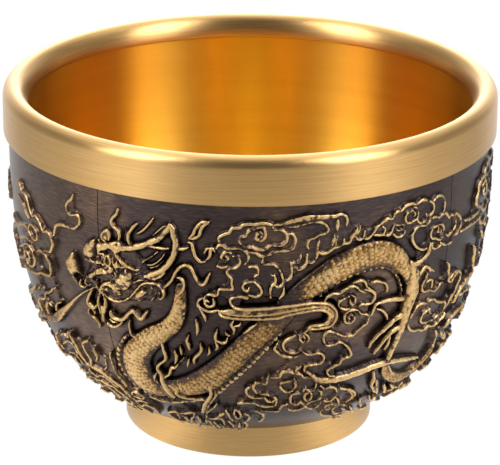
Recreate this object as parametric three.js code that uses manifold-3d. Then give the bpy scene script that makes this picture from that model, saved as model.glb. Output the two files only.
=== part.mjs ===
// Brass tea cup with a cast relief outside: a spun inner bowl, four cast relief quarters joined edge to edge
// round it, a turned rim ring that caps both, and a turned foot ring closed by a base disc.
// Millimetres, +Z up. The origin is the centre of the foot's underside, and -Y is the front.
import * as THREE from 'three';
import { mergeVertices } from 'three/addons/utils/BufferGeometryUtils.js';
import Module from 'manifold-3d';

// Driving sizes of the whole cup
const CUP_HEIGHT = 50.4;
const RIM_RADIUS = 35;
const FOOT_RADIUS = 17.9;
const FOOT_HEIGHT = 4.5;

// The rim ring: a plain band under a full round lip, proud of the casting below it
const BAND_HEIGHT = 6.65;
const BAND_STEP = 0.75;
const BAND_EDGE_CHAMFER = 0.25;
const LIP_INNER_FACE = 1.55;
const LIP_OVERHANG = 0.06;

// The relief quarters: the casting's plain ground is a superellipse from the mouth down to the foot
const FULLNESS_DOWN = 2.4;
const FULLNESS_OUT = 3.27;
const SHELL_WALL = 1.2;
const QUARTER_NAMES = ['relief_quarter_front', 'relief_quarter_right', 'relief_quarter_back', 'relief_quarter_left'];
const FRONT_QUARTER_TURN = THREE.MathUtils.degToRad(8.5);
const JOINT_GAP = 0.3;

// The relief's main forms. Places are [a, t]: a is the way round from the front, measured at RELIEF_RADIUS, and t
// is the way up the casting's face from the foot. A roll's station adds its half width and its height.
const RELIEF_RADIUS = 34;
const PLATE_HEIGHT = 0.8;
const RELIEF_ROOT = 0.6;
const RIM_CLEARANCE = 0.05;
const ROLL_SECTION = [[-1, 0], [-0.85, 0.7], [-0.4, 0.96], [0.4, 0.96], [0.85, 0.7], [1, 0]];
const BODY_ROLLS = [
  [[-9.2, 32.9, 0.9, 0.8], [-9.6, 29.4, 1.15, 1.1], [-11.9, 26, 1.5, 1.1], [-15.9, 22.6, 2, 1.12],
    [-17.5, 18, 2.35, 1.15], [-16.7, 16, 2.2, 1.1], [-14.9, 15, 1.7, 1], [-13.4, 15.2, 1.4, 0.85]],
  [[-12.2, 16, 1.3, 0.8], [-8.2, 16.7, 2.25, 1.05], [-5.9, 17.9, 2.5, 1.1], [-1.6, 22.3, 2.3, 1.1],
    [2.3, 26.8, 2.1, 0.95], [5.6, 30.7, 1.8, 0.6], [9.6, 34.2, 1.8, 1.05], [14.9, 36.6, 1.95, 1.1],
    [17.8, 36.9, 1.9, 1.1], [20.3, 36.1, 1.7, 1.05], [22.1, 34.4, 1.5, 0.95], [24.2, 30.2, 1.25, 1],
    [23.8, 26, 1, 0.9], [22.6, 20, 0.55, 0.6]],
  [[22.3, 18, 0.55, 0.7], [23.6, 16.1, 0.8, 0.9], [25.8, 14.7, 1, 1], [28.5, 13.8, 1, 0.95],
    [31.2, 14.3, 0.85, 0.9], [34.4, 18, 0.6, 0.8]],
];
const HORN_ROLLS = [
  [[-24, 35.9, 0.9, 1.1], [-21.8, 37, 1, 1.1], [-17.8, 37.8, 0.8, 1.1], [-13.6, 39.6, 0.5, 1], [-10.6, 41.6, 0.4, 1]],
  [[-10.6, 41.6, 0.4, 1], [-10, 38.6, 0.5, 1], [-11, 35.9, 0.5, 1], [-13.6, 34, 0.4, 1]],
];
const BREATH_ROLL = [[-24.4, 29.8, 0.3, 0.95], [-28.4, 26.2, 0.45, 1.05], [-31.8, 23.6, 0.75, 1],
  [-37.6, 21.6, 0.7, 1], [-42, 19.6, 0.55, 0.95], [-47, 17.2, 0.3, 0.8]];
const RIBBON_ROLL = [[11, 17.8, 0.35, 0.9], [15, 17.9, 0.3, 0.9], [20, 18.7, 0.3, 0.9], [25, 18.4, 0.3, 0.9],
  [29.8, 17.3, 0.3, 0.9]];
const FACE_OUTLINE = [[-24, 32.3], [-20.4, 30.2], [-15.5, 30], [-12.2, 33], [-14.5, 34.8], [-18, 36.4], [-23.4, 35.4]];
const CLOUD_OUTLINES = [
  [[-6.9, 31.2], [-4.2, 29.4], [3, 28.9], [9, 29.2], [12, 29.4], [10.8, 31.2], [4.6, 31.2], [5.4, 35.6], [10, 38.4],
    [16, 40], [22, 39.4], [25.4, 36.2], [27.4, 37], [31, 35], [33.8, 37.4], [30.2, 40.6], [28.6, 42.9],
    [22.8, 43], [16.4, 40.9], [13.2, 42.8], [6, 43.3], [0, 42.8], [-3.8, 41], [-4.2, 38], [-2.6, 35.6], [-3.8, 33]],
  [[5.2, 22.8], [5.6, 19.8], [10.6, 17.9], [14, 18.4], [15, 21.6], [14.6, 24.8], [17, 27.6], [19.4, 31.2],
    [18.4, 32.8], [14.6, 33.5], [11, 31.6], [11.2, 27.8], [6, 27], [3.6, 24.6]],
  [[-2.4, 12.4], [-1.7, 5.4], [0.4, 9], [2.8, 9.8], [5, 11.9], [12.4, 11.6], [14, 9], [17.8, 8.3], [17.8, 13.6],
    [14.6, 14.8], [13.6, 16.4], [9.6, 18.2], [5.4, 19.6], [1, 18.4], [-0.4, 16]],
  [[24.8, 25], [26.6, 23.2], [33.2, 22.4], [33.2, 25], [34.8, 27.6], [34.4, 29.8], [31.6, 31.2], [28.4, 30],
    [27.4, 32.2], [25.4, 32], [25.6, 28]],
  [[-35.4, 15.3], [-33, 13.6], [-26, 10.4], [-20.4, 7.4], [-18, 7.8], [-17.4, 9.8], [-19.4, 13], [-22, 15.2],
    [-26.4, 17.2], [-27, 20.6], [-30, 20.4], [-33.8, 17.9]],
  [[-44, 22.6], [-38, 23.8], [-31.6, 25.6], [-31.2, 36], [-35.6, 37.8], [-40.4, 40.6], [-38.2, 36.6], [-44, 34.4],
    [-41.8, 31.6], [-42, 28.6], [-37.8, 28], [-39, 25.6]],
];

// The inner bowl
const LINER_WALL = 0.95;
const FIT_CLEARANCE = 0.3;

// The foot ring, and the base disc that lies on its ledge
const FOOT_WALL = 2.45;
const LEDGE_WIDTH = 0.9;
const FOOT_EDGE_CHAMFER = 0.35;
const BASE_DISC_THICKNESS = 1.2;

// Fineness of the round surfaces
const TURN_STEPS = 60;
const WALL_STEPS = 13;
const LIP_STEPS = 10;
const FACE_STEPS = 400;
const PRISM_REACH = 9;

// Sizes that follow from the driving ones
const shellRadius = RIM_RADIUS - BAND_STEP;
const linerDepth = SHELL_WALL + FIT_CLEARANCE;
const linerRadius = shellRadius - linerDepth;
const linerBore = linerRadius - LINER_WALL;
const lipBore = linerBore - LIP_OVERHANG;
const lipRadius = (RIM_RADIUS - lipBore) / 2;
const bandBottom = CUP_HEIGHT - BAND_HEIGHT;
const lipSpring = CUP_HEIGHT - lipRadius;
const linerTop = lipSpring - LIP_INNER_FACE;
const footBore = FOOT_RADIUS - FOOT_WALL;
const ledgeHeight = FOOT_HEIGHT - BASE_DISC_THICKNESS;
const bowlDepth = superellipseDepth();
const faceWays = measureFace();

// Depth of the whole superellipse below the band, chosen so that it passes through the foot ring's top edge.
function superellipseDepth() {
  const down = 1 - (FOOT_RADIUS / shellRadius) ** FULLNESS_OUT;
  return (bandBottom - FOOT_HEIGHT) / down ** (1 / FULLNESS_DOWN);
}

// Point of the bowl's wall, as radius and height. The turn runs from 0 at the band to a quarter circle at the
// pole, and the point lies the given depth inside the ground, square to it.
function wallPoint(turn, depth) {
  const out = Math.cos(turn) ** (2 / FULLNESS_OUT);
  const down = Math.sin(turn) ** (2 / FULLNESS_DOWN);
  const slopeOut = (FULLNESS_OUT * out ** (FULLNESS_OUT - 1)) / shellRadius;
  const slopeDown = (FULLNESS_DOWN * down ** (FULLNESS_DOWN - 1)) / bowlDepth;
  const inwards = new THREE.Vector2(-slopeOut, slopeDown).setLength(depth);
  return new THREE.Vector2(shellRadius * out, bandBottom - bowlDepth * down).add(inwards);
}

// Turn at which the wall at this depth comes down to the given height, found by halving.
function turnAtHeight(height, depth) {
  let above = 0;
  let below = Math.PI / 2;
  for (let i = 0; i < 40; i++) {
    const middle = (above + below) / 2;
    if (wallPoint(middle, depth).y > height) above = middle;
    else below = middle;
  }
  return above;
}

// Wall curve at one depth, from the band down to the given height.
function wallCurve(depth, lowest) {
  const lastTurn = turnAtHeight(lowest, depth);
  const points = Array.from({ length: WALL_STEPS + 1 }, (_, i) => wallPoint((lastTurn * i) / WALL_STEPS, depth));
  points[WALL_STEPS].y = lowest;
  return points;
}

// Turns of the casting's face from the foot up to the band, each with the way along the face from the foot.
function measureFace() {
  const footTurn = turnAtHeight(FOOT_HEIGHT, 0);
  const turns = Array.from({ length: FACE_STEPS + 1 }, (_, i) => footTurn * (1 - i / FACE_STEPS));
  let way = 0;
  return turns.map((turn, i) => {
    if (i > 0) way += wallPoint(turn, 0).distanceTo(wallPoint(turns[i - 1], 0));
    return { turn, way };
  });
}

// Turn of the face at this way up from the foot.
function turnAtWay(up) {
  const above = Math.max(1, faceWays.findIndex((entry) => entry.way >= up));
  const low = faceWays[above - 1];
  const high = faceWays[above];
  return THREE.MathUtils.mapLinear(up, low.way, high.way, low.turn, high.turn);
}

// Point over a place on the casting's face, raised square to it.
function overFace(around, up, raised) {
  const point = wallPoint(turnAtWay(up), -raised);
  const angle = around / RELIEF_RADIUS - Math.PI / 2;
  return [point.x * Math.cos(angle), point.x * Math.sin(angle), point.y];
}

// Solid of revolution about Z from a profile of [radius, height] points that runs anticlockwise. A profile that
// doesn't start on the axis is closed on itself.
function turned(profile) {
  const points = profile.map((point) => (Array.isArray(point) ? new THREE.Vector2(...point) : point));
  if (points[0].x > 0) points.push(points[0].clone());
  return new THREE.LatheGeometry(points, TURN_STEPS).rotateX(Math.PI / 2);
}

// Position-only solid of a closed three.js geometry, ready for a cut.
function solidOf(geometry) {
  const bare = geometry.clone();
  bare.deleteAttribute('normal');
  bare.deleteAttribute('uv');
  const merged = mergeVertices(bare, 1e-4);
  return new wasm.Manifold(
    new wasm.Mesh({
      numProp: 3,
      vertProperties: merged.getAttribute('position').array,
      triVerts: new Uint32Array(merged.index.array),
    }),
  );
}

// Flat-shaded geometry of a solid that has been cut.
function geometryOf(solid) {
  const mesh = solid.getMesh();
  const geometry = new THREE.BufferGeometry();
  geometry.setAttribute('position', new THREE.BufferAttribute(new Float32Array(mesh.vertProperties), 3));
  geometry.setIndex(new THREE.BufferAttribute(new Uint32Array(mesh.triVerts), 1));
  const faceted = geometry.toNonIndexed();
  faceted.computeVertexNormals();
  return faceted;
}

// Turned ring with a full round lip. Its skirt goes outside the inner bowl's collar, down to the quarters' tops,
// and its inner ledge lies on the inner bowl's top edge.
function rimRing() {
  const lip = Array.from({ length: LIP_STEPS + 1 }, (_, i) => {
    const angle = (Math.PI * i) / LIP_STEPS;
    return [lipBore + lipRadius + lipRadius * Math.cos(angle), lipSpring + lipRadius * Math.sin(angle)];
  });
  const skirtBore = linerRadius + FIT_CLEARANCE;
  return turned([
    [skirtBore, bandBottom],
    [RIM_RADIUS - BAND_EDGE_CHAMFER, bandBottom],
    [RIM_RADIUS, bandBottom + BAND_EDGE_CHAMFER],
    ...lip,
    [lipBore, linerTop],
    [skirtBore, linerTop],
  ]);
}

// Spun bowl with a flat floor and a straight collar that reaches up into the rim ring.
function innerBowl() {
  const outside = wallCurve(linerDepth, FOOT_HEIGHT);
  const inside = wallCurve(linerDepth + LINER_WALL, FOOT_HEIGHT + LINER_WALL);
  return turned([
    [0, FOOT_HEIGHT],
    ...outside.reverse(),
    [linerRadius, linerTop],
    [linerBore, linerTop],
    ...inside,
    [0, FOOT_HEIGHT + LINER_WALL],
  ]);
}

// Whole casting before it is divided: a bowl with no bottom, whose cut lower edge stands on the foot ring.
function reliefShell() {
  const outside = wallCurve(0, FOOT_HEIGHT);
  const inside = wallCurve(SHELL_WALL, FOOT_HEIGHT);
  return turned([...outside.reverse(), ...inside]);
}

// Ring of points round a roll at one of its stations. It stays inside the rim's radius.
function rollRing(stations, i) {
  const [around, up, halfWidth, height] = stations[i];
  const before = stations[Math.max(i - 1, 0)];
  const after = stations[Math.min(i + 1, stations.length - 1)];
  const faceRadius = wallPoint(turnAtWay(up), 0).x;
  const narrowing = faceRadius / RELIEF_RADIUS;
  const way = new THREE.Vector2((after[0] - before[0]) * narrowing, after[1] - before[1]).normalize();
  const room = RIM_RADIUS - RIM_CLEARANCE - faceRadius;
  const section = [...ROLL_SECTION.map(([side, rise]) => [side, Math.min(rise * height, room)])];
  section.push([-1, -RELIEF_ROOT], [1, -RELIEF_ROOT]);
  return section.map(([side, raised]) =>
    overFace(around - (way.y * side * halfWidth) / narrowing, up + way.x * side * halfWidth, raised),
  );
}

// Rounded roll on the face through its stations, with its root sunk in the casting.
function roll(stations) {
  const rings = stations.map((_, i) => rollRing(stations, i));
  const lengths = rings.slice(1).map((ring, i) => wasm.Manifold.hull([...rings[i], ...ring]));
  return wasm.Manifold.union(lengths);
}

// Skin as thick as the plates, laid over the casting's face and rooted in it.
function plateSkin() {
  const outside = wallCurve(-PLATE_HEIGHT, FOOT_HEIGHT);
  outside.forEach((point) => (point.x = Math.min(point.x, RIM_RADIUS - RIM_CLEARANCE)));
  return solidOf(turned([...outside.reverse(), ...wallCurve(RELIEF_ROOT, FOOT_HEIGHT)]));
}

// Prism square to the face inside a closed outline that runs anticlockwise as seen from outside.
function outlinePrism(outline) {
  const flat = outline.map((place) => new THREE.Vector2(...place));
  const count = flat.length;
  const index = [];
  THREE.ShapeUtils.triangulateShape(flat, []).forEach(([i, j, k]) => {
    index.push(i, k, j, i + count, j + count, k + count);
  });
  flat.forEach((_, i) => {
    const next = (i + 1) % count;
    index.push(i, next, next + count, i, next + count, i + count);
  });
  const inner = outline.map((place) => overFace(...place, -SHELL_WALL));
  const outer = outline.map((place) => overFace(...place, PRISM_REACH));
  const geometry = new THREE.BufferGeometry();
  geometry.setAttribute('position', new THREE.Float32BufferAttribute([...inner, ...outer].flat(), 3));
  geometry.setIndex(index);
  return solidOf(geometry);
}

// The casting with its relief. The back repeats the front after half a turn.
function reliefCasting() {
  const skin = plateSkin();
  const rolls = [...BODY_ROLLS, ...HORN_ROLLS, BREATH_ROLL, RIBBON_ROLL].map(roll);
  const plates = [FACE_OUTLINE, ...CLOUD_OUTLINES].map((outline) => skin.intersect(outlinePrism(outline)));
  const relief = wasm.Manifold.union([...rolls, ...plates]);
  return wasm.Manifold.union([solidOf(reliefShell()), relief, relief.rotate([0, 0, 180])]);
}

// Upright wedge that holds one quarter of the casting, half a joint gap clear of the planes on both sides.
function quarterWedge(middle) {
  const halfAngle = Math.PI / QUARTER_NAMES.length;
  const reach = (2 * RIM_RADIUS) / Math.cos(halfAngle);
  const apex = JOINT_GAP / 2 / Math.sin(halfAngle);
  const corners = [
    new THREE.Vector2(apex, 0),
    new THREE.Vector2(apex + reach * Math.cos(halfAngle), -reach * Math.sin(halfAngle)),
    new THREE.Vector2(apex + reach * Math.cos(halfAngle), reach * Math.sin(halfAngle)),
  ];
  const wedge = new THREE.ExtrudeGeometry(new THREE.Shape(corners), { depth: CUP_HEIGHT, bevelEnabled: false });
  return wedge.rotateZ(middle);
}

// Turned ring with a ledge inside its top edge for the base disc.
function footRing() {
  return turned([
    [footBore, 0],
    [FOOT_RADIUS - FOOT_EDGE_CHAMFER, 0],
    [FOOT_RADIUS, FOOT_EDGE_CHAMFER],
    [FOOT_RADIUS, FOOT_HEIGHT],
    [footBore + LEDGE_WIDTH, FOOT_HEIGHT],
    [footBore + LEDGE_WIDTH, ledgeHeight],
    [footBore, ledgeHeight],
  ]);
}

// Disc that closes the space inside the foot, flush with the foot ring's top.
function baseDisc() {
  const radius = footBore + LEDGE_WIDTH - FIT_CLEARANCE;
  return turned([
    [0, ledgeHeight],
    [radius, ledgeHeight],
    [radius, FOOT_HEIGHT],
    [0, FOOT_HEIGHT],
  ]);
}

const satinBrass = new THREE.MeshStandardMaterial({ color: 0xc8a564, roughness: 0.38, metalness: 1 });
const goldenBrass = new THREE.MeshStandardMaterial({ color: 0xd9922e, roughness: 0.28, metalness: 1 });
const patinatedBrass = new THREE.MeshStandardMaterial({ color: 0x4a3c36, roughness: 0.45, metalness: 0.9 });

// One named mesh of the cup.
function piece(name, geometry, material) {
  const mesh = new THREE.Mesh(geometry, material);
  mesh.name = name;
  return mesh;
}

const wasm = await Module();
wasm.setup();

const cup = new THREE.Group();
cup.add(piece('rim_ring', rimRing(), satinBrass));
cup.add(piece('inner_bowl', innerBowl(), goldenBrass));
cup.add(piece('foot_ring', footRing(), satinBrass));
cup.add(piece('base_disc', baseDisc(), goldenBrass));

const casting = reliefCasting();
QUARTER_NAMES.forEach((name, i) => {
  const middle = -Math.PI / 2 + FRONT_QUARTER_TURN + (2 * Math.PI * i) / QUARTER_NAMES.length;
  const quarter = casting.intersect(solidOf(quarterWedge(middle)));
  cup.add(piece(name, geometryOf(quarter), patinatedBrass));
});

export default cup;
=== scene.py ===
# Brass tea cup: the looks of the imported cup. A turned rim ring, a spun golden bowl, a cast dragon and cloud
# relief in four quarters, a turned foot ring and its base disc. Sizes are in millimetres, and the scene is
# in metres.
import math

import bpy
import numpy as np
from mathutils import Matrix, Vector


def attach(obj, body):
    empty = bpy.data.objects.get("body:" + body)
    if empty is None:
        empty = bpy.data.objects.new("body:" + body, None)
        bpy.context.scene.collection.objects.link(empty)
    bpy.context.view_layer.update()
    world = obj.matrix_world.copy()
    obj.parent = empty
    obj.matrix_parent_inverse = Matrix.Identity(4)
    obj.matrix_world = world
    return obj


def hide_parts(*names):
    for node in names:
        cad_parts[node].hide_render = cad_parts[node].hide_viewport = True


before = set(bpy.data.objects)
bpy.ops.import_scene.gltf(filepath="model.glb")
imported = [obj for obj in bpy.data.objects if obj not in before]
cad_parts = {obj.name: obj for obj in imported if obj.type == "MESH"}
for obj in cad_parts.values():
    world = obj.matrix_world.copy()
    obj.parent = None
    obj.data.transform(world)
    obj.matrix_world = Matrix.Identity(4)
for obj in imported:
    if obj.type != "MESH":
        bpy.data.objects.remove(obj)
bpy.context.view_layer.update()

MM = 0.001

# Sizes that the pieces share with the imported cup, in millimetres
RIM_RADIUS = 35.0
CUP_HEIGHT = 50.4
BAND_BOTTOM = 43.75
LIP_BORE = 31.74
LINER_BORE = 31.79
LINER_TOP = 47.22
SKIRT_BORE = 33.05
SHELL_RADIUS = 34.25
SHELL_WALL = 1.2
LINER_DEPTH = 1.5
LINER_WALL = 0.95
FOOT_RADIUS = 17.9
FOOT_HEIGHT = 4.5
FOOT_BORE = 15.45
LEDGE_WIDTH = 0.9
LEDGE_HEIGHT = 3.3
DISC_RADIUS = 16.05
FRONT_QUARTER_MIDDLE = 8.5

# The casting's face is a superellipse, with these powers down and out
FULLNESS_DOWN = 2.4
FULLNESS_OUT = 3.27

# Finer sizes that only the looks have. The lip slopes in to a waist, and ends just over the bowl's collar.
LIP_WAIST = 31.5
LIP_END = 47.25
BAND_EDGE_ROUND = 0.25
BAND_STRAIGHT = 2.5
FOOT_EDGE_ROUND = 0.35
JOINT_GAP = 0.12
POLE_RADIUS = 0.01
FLOOR_RING = 8

# Steps round a turned piece, and down a wall
TURN_STEPS = 192
WALL_STEPS = 40

# The relief's strokes, read off the photograph. Points are (a, t). First the clouds: rounded lines,
# and what lies between them is filled as raised plates.
CLOUD_LINES = [
    [(-30, 36.3), (-29.8, 37.1), (-29.4, 37.9), (-28.4, 38.25), (-27, 38.4), (-25.9, 38.45),
     (-25.2, 38.85), (-24.65, 39.5), (-24.6, 40.1), (-24.95, 40.5), (-25.6, 40.45), (-26.4, 40.25),
     (-26.95, 40.7), (-27.1, 41.4), (-26.75, 42), (-26.2, 42.5), (-25.75, 43.3)],
    [(-34, 33), (-33, 32.95), (-32.1, 33.4), (-31.2, 33.5), (-30.7, 34.2), (-30.4, 34.9), (-30.6, 35.6),
     (-31.1, 36.1), (-31.8, 36.3), (-32.6, 36.1), (-33.3, 36.8), (-34, 37.4)],
    [(-30.8, 35.8), (-30.1, 36.3)],
    [(-3.95, 40.1), (-4, 40.6), (-3.65, 40.9), (-3.1, 41.2), (-2.7, 41.35), (-2.3, 41.95), (-1.9, 42.1),
     (-1.2, 42.15), (-0.9, 42.5), (-0.2, 42.65), (0.6, 42.6), (1.3, 42.75), (2.1, 42.75), (2.8, 42.55),
     (3.15, 42.1)],
    [(-0.8, 39.6), (-1.15, 40.05), (-1.25, 40.45), (-1, 40.8), (-0.5, 41), (-0.25, 41.5), (0.1, 41.85),
     (0.8, 42.05), (1.3, 42.25), (1.9, 42), (2.1, 41.3), (1.95, 40.65), (1.4, 40.35), (0.9, 40.6),
     (0.9, 41.1), (1.3, 41.4), (1.65, 41.15), (1.5, 40.85)],
    [(3.2, 41.8), (3.9, 41.8), (4.5, 41.6), (4.85, 41.1), (4.95, 40.4), (4.5, 39.85), (3.9, 39.6),
     (3, 39.7), (2.5, 39.5), (2.1, 39.1), (1.3, 39.1), (0.6, 39.3), (0.3, 39.5), (-0.2, 39.3),
     (-0.7, 39.35)],
    [(5.05, 41.2), (5.6, 41.15), (6, 40.6), (6, 39.9), (5.75, 39.2), (5.1, 38.85), (4.2, 38.8),
     (3.3, 38.7), (2.8, 38.4), (2.1, 38.2), (1.4, 38.2), (0.8, 38.6), (0, 38.75)],
    [(-2.3, 38.5), (-2.7, 38.75), (-3.3, 38.55), (-3.65, 37.9), (-3.4, 37.35), (-2.95, 37.35),
     (-2.8, 37.8), (-3.1, 38.1)],
    [(-4.3, 39.1), (-4, 39.55), (-3.4, 39.6), (-3, 39.25), (-2.4, 39.2), (-1.8, 39.25), (-1, 39.15),
     (-0.4, 38.8), (-0.1, 38.2), (-0.2, 37.5), (-0.6, 37)],
    [(-2.1, 38.1), (-1.6, 38.15), (-1.25, 37.6), (-1.3, 37), (-1.8, 36.45), (-2.5, 36.35), (-2.9, 36),
     (-2.7, 35.4), (-2.3, 34.9), (-2.3, 34.2), (-2.2, 33.4), (-3, 33.35), (-3.9, 33.3), (-4.1, 32.6),
     (-4.5, 32.35), (-5.1, 32.5), (-5.6, 32.35), (-5.9, 32), (-6, 31.6)],
    [(-4.2, 36.6), (-3.5, 36.45), (-2.95, 36.6)],
    [(1.2, 35.6), (0.7, 35.25)],
    [(0, 36.6), (0.7, 36.7), (1.2, 36.3), (1.2, 35.6)],
    [(1, 34.2), (0.7, 34.5), (0.1, 34.55), (-0.55, 34.3), (-0.8, 33.8), (-0.6, 33.3), (-0.2, 33.2),
     (0, 33.7)],
    [(0.7, 34.5), (1, 34.2), (1.5, 33.6), (1.65, 32.95), (1.25, 32.45), (0.7, 32.4), (0, 32.6)],
    [(-2.4, 31.3), (-2.5, 31.9), (-2, 32.2), (-1, 32.35), (-0.3, 32.1), (0, 32.5)],
    [(1.8, 37.95), (1.8, 37.6), (1.6, 37.2)],
    [(1.8, 37), (3, 36.95), (3.8, 36.5), (4.15, 35.8), (4.4, 35), (4.45, 34.5), (4.2, 33.9), (3.7, 33.75),
     (3.3, 34.2)],
    [(3, 35.4), (3.35, 35.3), (3.5, 34.6), (3.3, 34.2), (2.9, 33.8), (2.8, 33.1), (2.85, 32.1)],
    [(4, 32), (4.5, 32.7), (4.6, 33.5)],
    [(3, 42.5), (4.2, 42.6), (5, 42.75), (5.9, 43.1), (7, 43.3), (8, 43.45), (9, 43.35), (10, 43.2),
     (11.1, 43.1), (11.8, 43.3), (12.4, 43.3), (12.9, 42.9), (13.1, 42.3), (12.95, 41.7)],
    [(4.7, 42.2), (6.2, 42.25), (7.2, 42.5), (8, 42.65), (8.9, 42.65), (9.7, 42.4), (10.3, 41.9),
     (10.45, 41.3), (10, 40.9), (9.2, 40.8), (8.6, 40.45), (8, 40.25), (7.7, 39.9), (7.6, 39.4),
     (7.8, 38.95)],
    [(4.6, 34.5), (5, 34.6), (5.5, 35.1), (5.6, 36.2), (5.55, 37), (6.3, 37), (6.7, 37.5), (6.8, 38.1)],
    [(6, 36.3), (6.5, 36.05), (7.1, 36.3), (7.5, 37), (7.6, 37.7), (7.65, 38.1)],
    [(7.5, 37.05), (8.3, 36.95), (8.9, 37.7), (9, 38.5), (9.1, 39.4), (9.25, 39.9)],
    [(9.05, 38.6), (9.5, 38.1), (10.2, 38.1), (11, 38.55), (11.4, 38.9), (11.5, 39.6), (11.75, 40.3)],
    [(11.4, 38.65), (12.1, 38.9), (12.6, 39.2), (12.7, 39.8)],
    [(12.7, 39.1), (13.4, 39.2), (13.8, 39.9), (14.4, 40.3), (14.85, 40.8), (14.95, 41.3)],
    [(14.3, 39.9), (14.75, 39.4), (15.3, 39.5), (15.55, 39.9), (15.65, 40.5)],
    [(15.5, 39.5), (16, 39.35), (16.7, 39.75), (17.2, 40.4), (17.6, 40.85), (18, 41.05)],
    [(10.3, 31.3), (10.6, 31.8), (11.4, 32.1), (12.2, 32.05), (12.9, 32.5), (13.9, 32.85), (14.7, 32.65),
     (15.3, 32), (16, 31.6)],
    [(14.3, 33.3), (15.3, 33.5), (16, 33.1), (16.2, 32.5), (16.7, 32), (17.4, 31.5)],
    [(18, 41.05), (18.7, 41.45), (19.2, 41.65), (19.9, 41.5), (20.2, 42.05), (20.75, 42.35), (21.4, 42.3),
     (21.9, 42.75), (22.6, 42.9), (23.3, 42.9), (23.9, 42.65)],
    [(24.2, 42.7), (25, 43), (25.7, 42.85), (26.1, 42.5), (26.6, 42.4), (27.1, 42.1), (27.3, 41.4),
     (27.1, 40.85), (26.6, 40.45), (26, 40.35)],
    [(27.3, 42.4), (28, 42.75), (28.8, 42.7), (29.4, 42.2), (29.65, 41.4), (29.55, 40.7), (29.3, 40.3)],
    [(23.4, 42), (22.9, 41.85), (22.3, 41.7), (22.05, 41.1), (22.3, 40.5), (23, 40.25), (23.7, 40.4)],
    [(23.5, 42.4), (24.05, 42.1), (24.3, 41.4), (24.15, 40.7), (23.8, 40.4)],
    [(23.5, 41.8), (23.8, 41.3), (23.55, 41.1)],
    [(24.15, 40.65), (24.35, 40.15), (24.9, 39.8), (25.6, 39.9), (25.95, 40.3), (25.9, 40.8)],
    [(23.1, 38.4), (23.55, 38.75), (24.1, 39.2), (24.8, 39.4), (25.5, 39.3), (26.05, 39.25), (26.5, 39.65),
     (27, 39.95), (27.8, 39.9), (28.5, 39.7), (29.2, 39.95), (29.9, 39.9), (30.35, 39.5), (30.7, 39.05)],
    [(23.55, 38.75), (23.4, 38.1), (23.6, 37.4), (24.1, 36.7), (24.8, 36.1), (25.6, 35.75), (26.2, 35.8)],
    [(30.7, 38.9), (31, 39.15), (31.6, 39.1), (32.2, 38.6), (32.45, 37.8), (32.1, 37), (31.4, 36.7),
     (30.7, 36.45), (30, 36.75), (29.4, 36.5), (28.8, 36.35), (28.1, 36.7), (27.3, 36.95), (26.95, 37.5),
     (27.1, 38.15), (27.7, 38.5), (28.4, 38.5)],
    [(28.6, 38.6), (29.3, 38.4), (29.6, 37.7), (29.3, 37.05), (28.9, 37.15), (29.1, 37.7)],
    [(28.5, 38.3), (28.3, 37.7), (28.6, 37.5)],
    [(32, 39), (32.6, 39), (33.1, 38.7), (33.7, 38.1), (33.9, 37.3), (33.5, 36.5), (33, 36.1),
     (32.1, 35.95)],
    [(23, 33.7), (24.2, 33.65), (25.3, 33.9), (26.2, 34.5), (26.75, 35.2), (26.9, 35.9), (27.4, 36.3)],
    [(27.3, 36.2), (27.35, 35.6), (28, 35.3), (28.8, 35.4), (29.1, 35.8)],
    [(29, 35.9), (29.8, 35.4), (30.5, 35.15), (31.4, 35.2), (32, 35.45)],
    [(18.3, 39.4), (18.7, 39.4), (19.3, 39.3), (19.8, 39.7), (20.1, 40.3), (20.4, 40.5)],
    [(20.3, 40.5), (21.2, 40.35), (21.75, 40.3), (21.8, 39.8), (21.3, 39.55), (20.6, 39.7)],
    [(20.2, 39.2), (20.7, 38.75), (21.4, 38.65), (21.9, 38.95), (22, 39.35)],
    [(17, 39.7), (17.7, 39.6), (18.3, 39.5), (18.75, 39.9), (18.7, 40.4), (18.4, 40.6)],
    [(17, 32.95), (17.8, 32.95), (18.5, 32.7), (19.2, 32.3), (19.55, 31.6), (19.5, 31)],
    [(17, 31.85), (17.5, 31.4), (17.8, 31)],
    [(25.9, 32.8), (25.3, 32.2), (24.9, 32.1)],
    [(26, 32.9), (26.7, 32.9), (27.4, 32.4), (28.1, 31.9)],
    [(31.2, 32.2), (31.6, 31.8), (31.7, 31)],
    [(0, 32.45), (-1, 32.35), (-2, 32.2), (-2.5, 31.7), (-2.2, 31), (-1.4, 30.6)],
    [(8.4, 27.1), (8, 26.8), (7.7, 26.4)],
    [(12.2, 30.3), (12.35, 30.8), (12.9, 31.1), (13.7, 31.4)],
    [(13.9, 31.6), (14.5, 31.2), (14.65, 30.5), (14.4, 30.05), (14, 30.35), (13.9, 30.9)],
    [(12.2, 30.3), (12.6, 29.8), (13.3, 29.5), (14, 29.5)],
    [(15.3, 29.7), (15.8, 29.85), (16.7, 29.7), (17.35, 29.95), (17.7, 30.6), (17.4, 31.3), (16.7, 31.8),
     (15.9, 32.05)],
    [(15.3, 29), (14.7, 29.2), (13.9, 29.15), (13.4, 28.7), (13.3, 28), (13.6, 27.4), (14.2, 27.2),
     (14.7, 27.5), (14.8, 28), (14.45, 28.4), (14, 28.4), (13.9, 28), (14.2, 27.85)],
    [(15.3, 28.95), (15.8, 28.4), (16.7, 28.1), (17.1, 27.7), (17, 26.8), (16.5, 26.4), (16.1, 26.2),
     (15.4, 25.6), (15, 25.15), (14.3, 25.05), (13.3, 25.3), (12.5, 25.75), (11.8, 26.1), (11.3, 26.3),
     (10.8, 26.15), (10.55, 25.6), (10.6, 24.9), (11, 24.2), (11.5, 23.95), (12.3, 24.05), (13, 24.3),
     (13.7, 23.95), (14.3, 23.4), (14.9, 22.55), (15.2, 21.9), (14.95, 21.45), (14.4, 21.45),
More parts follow.
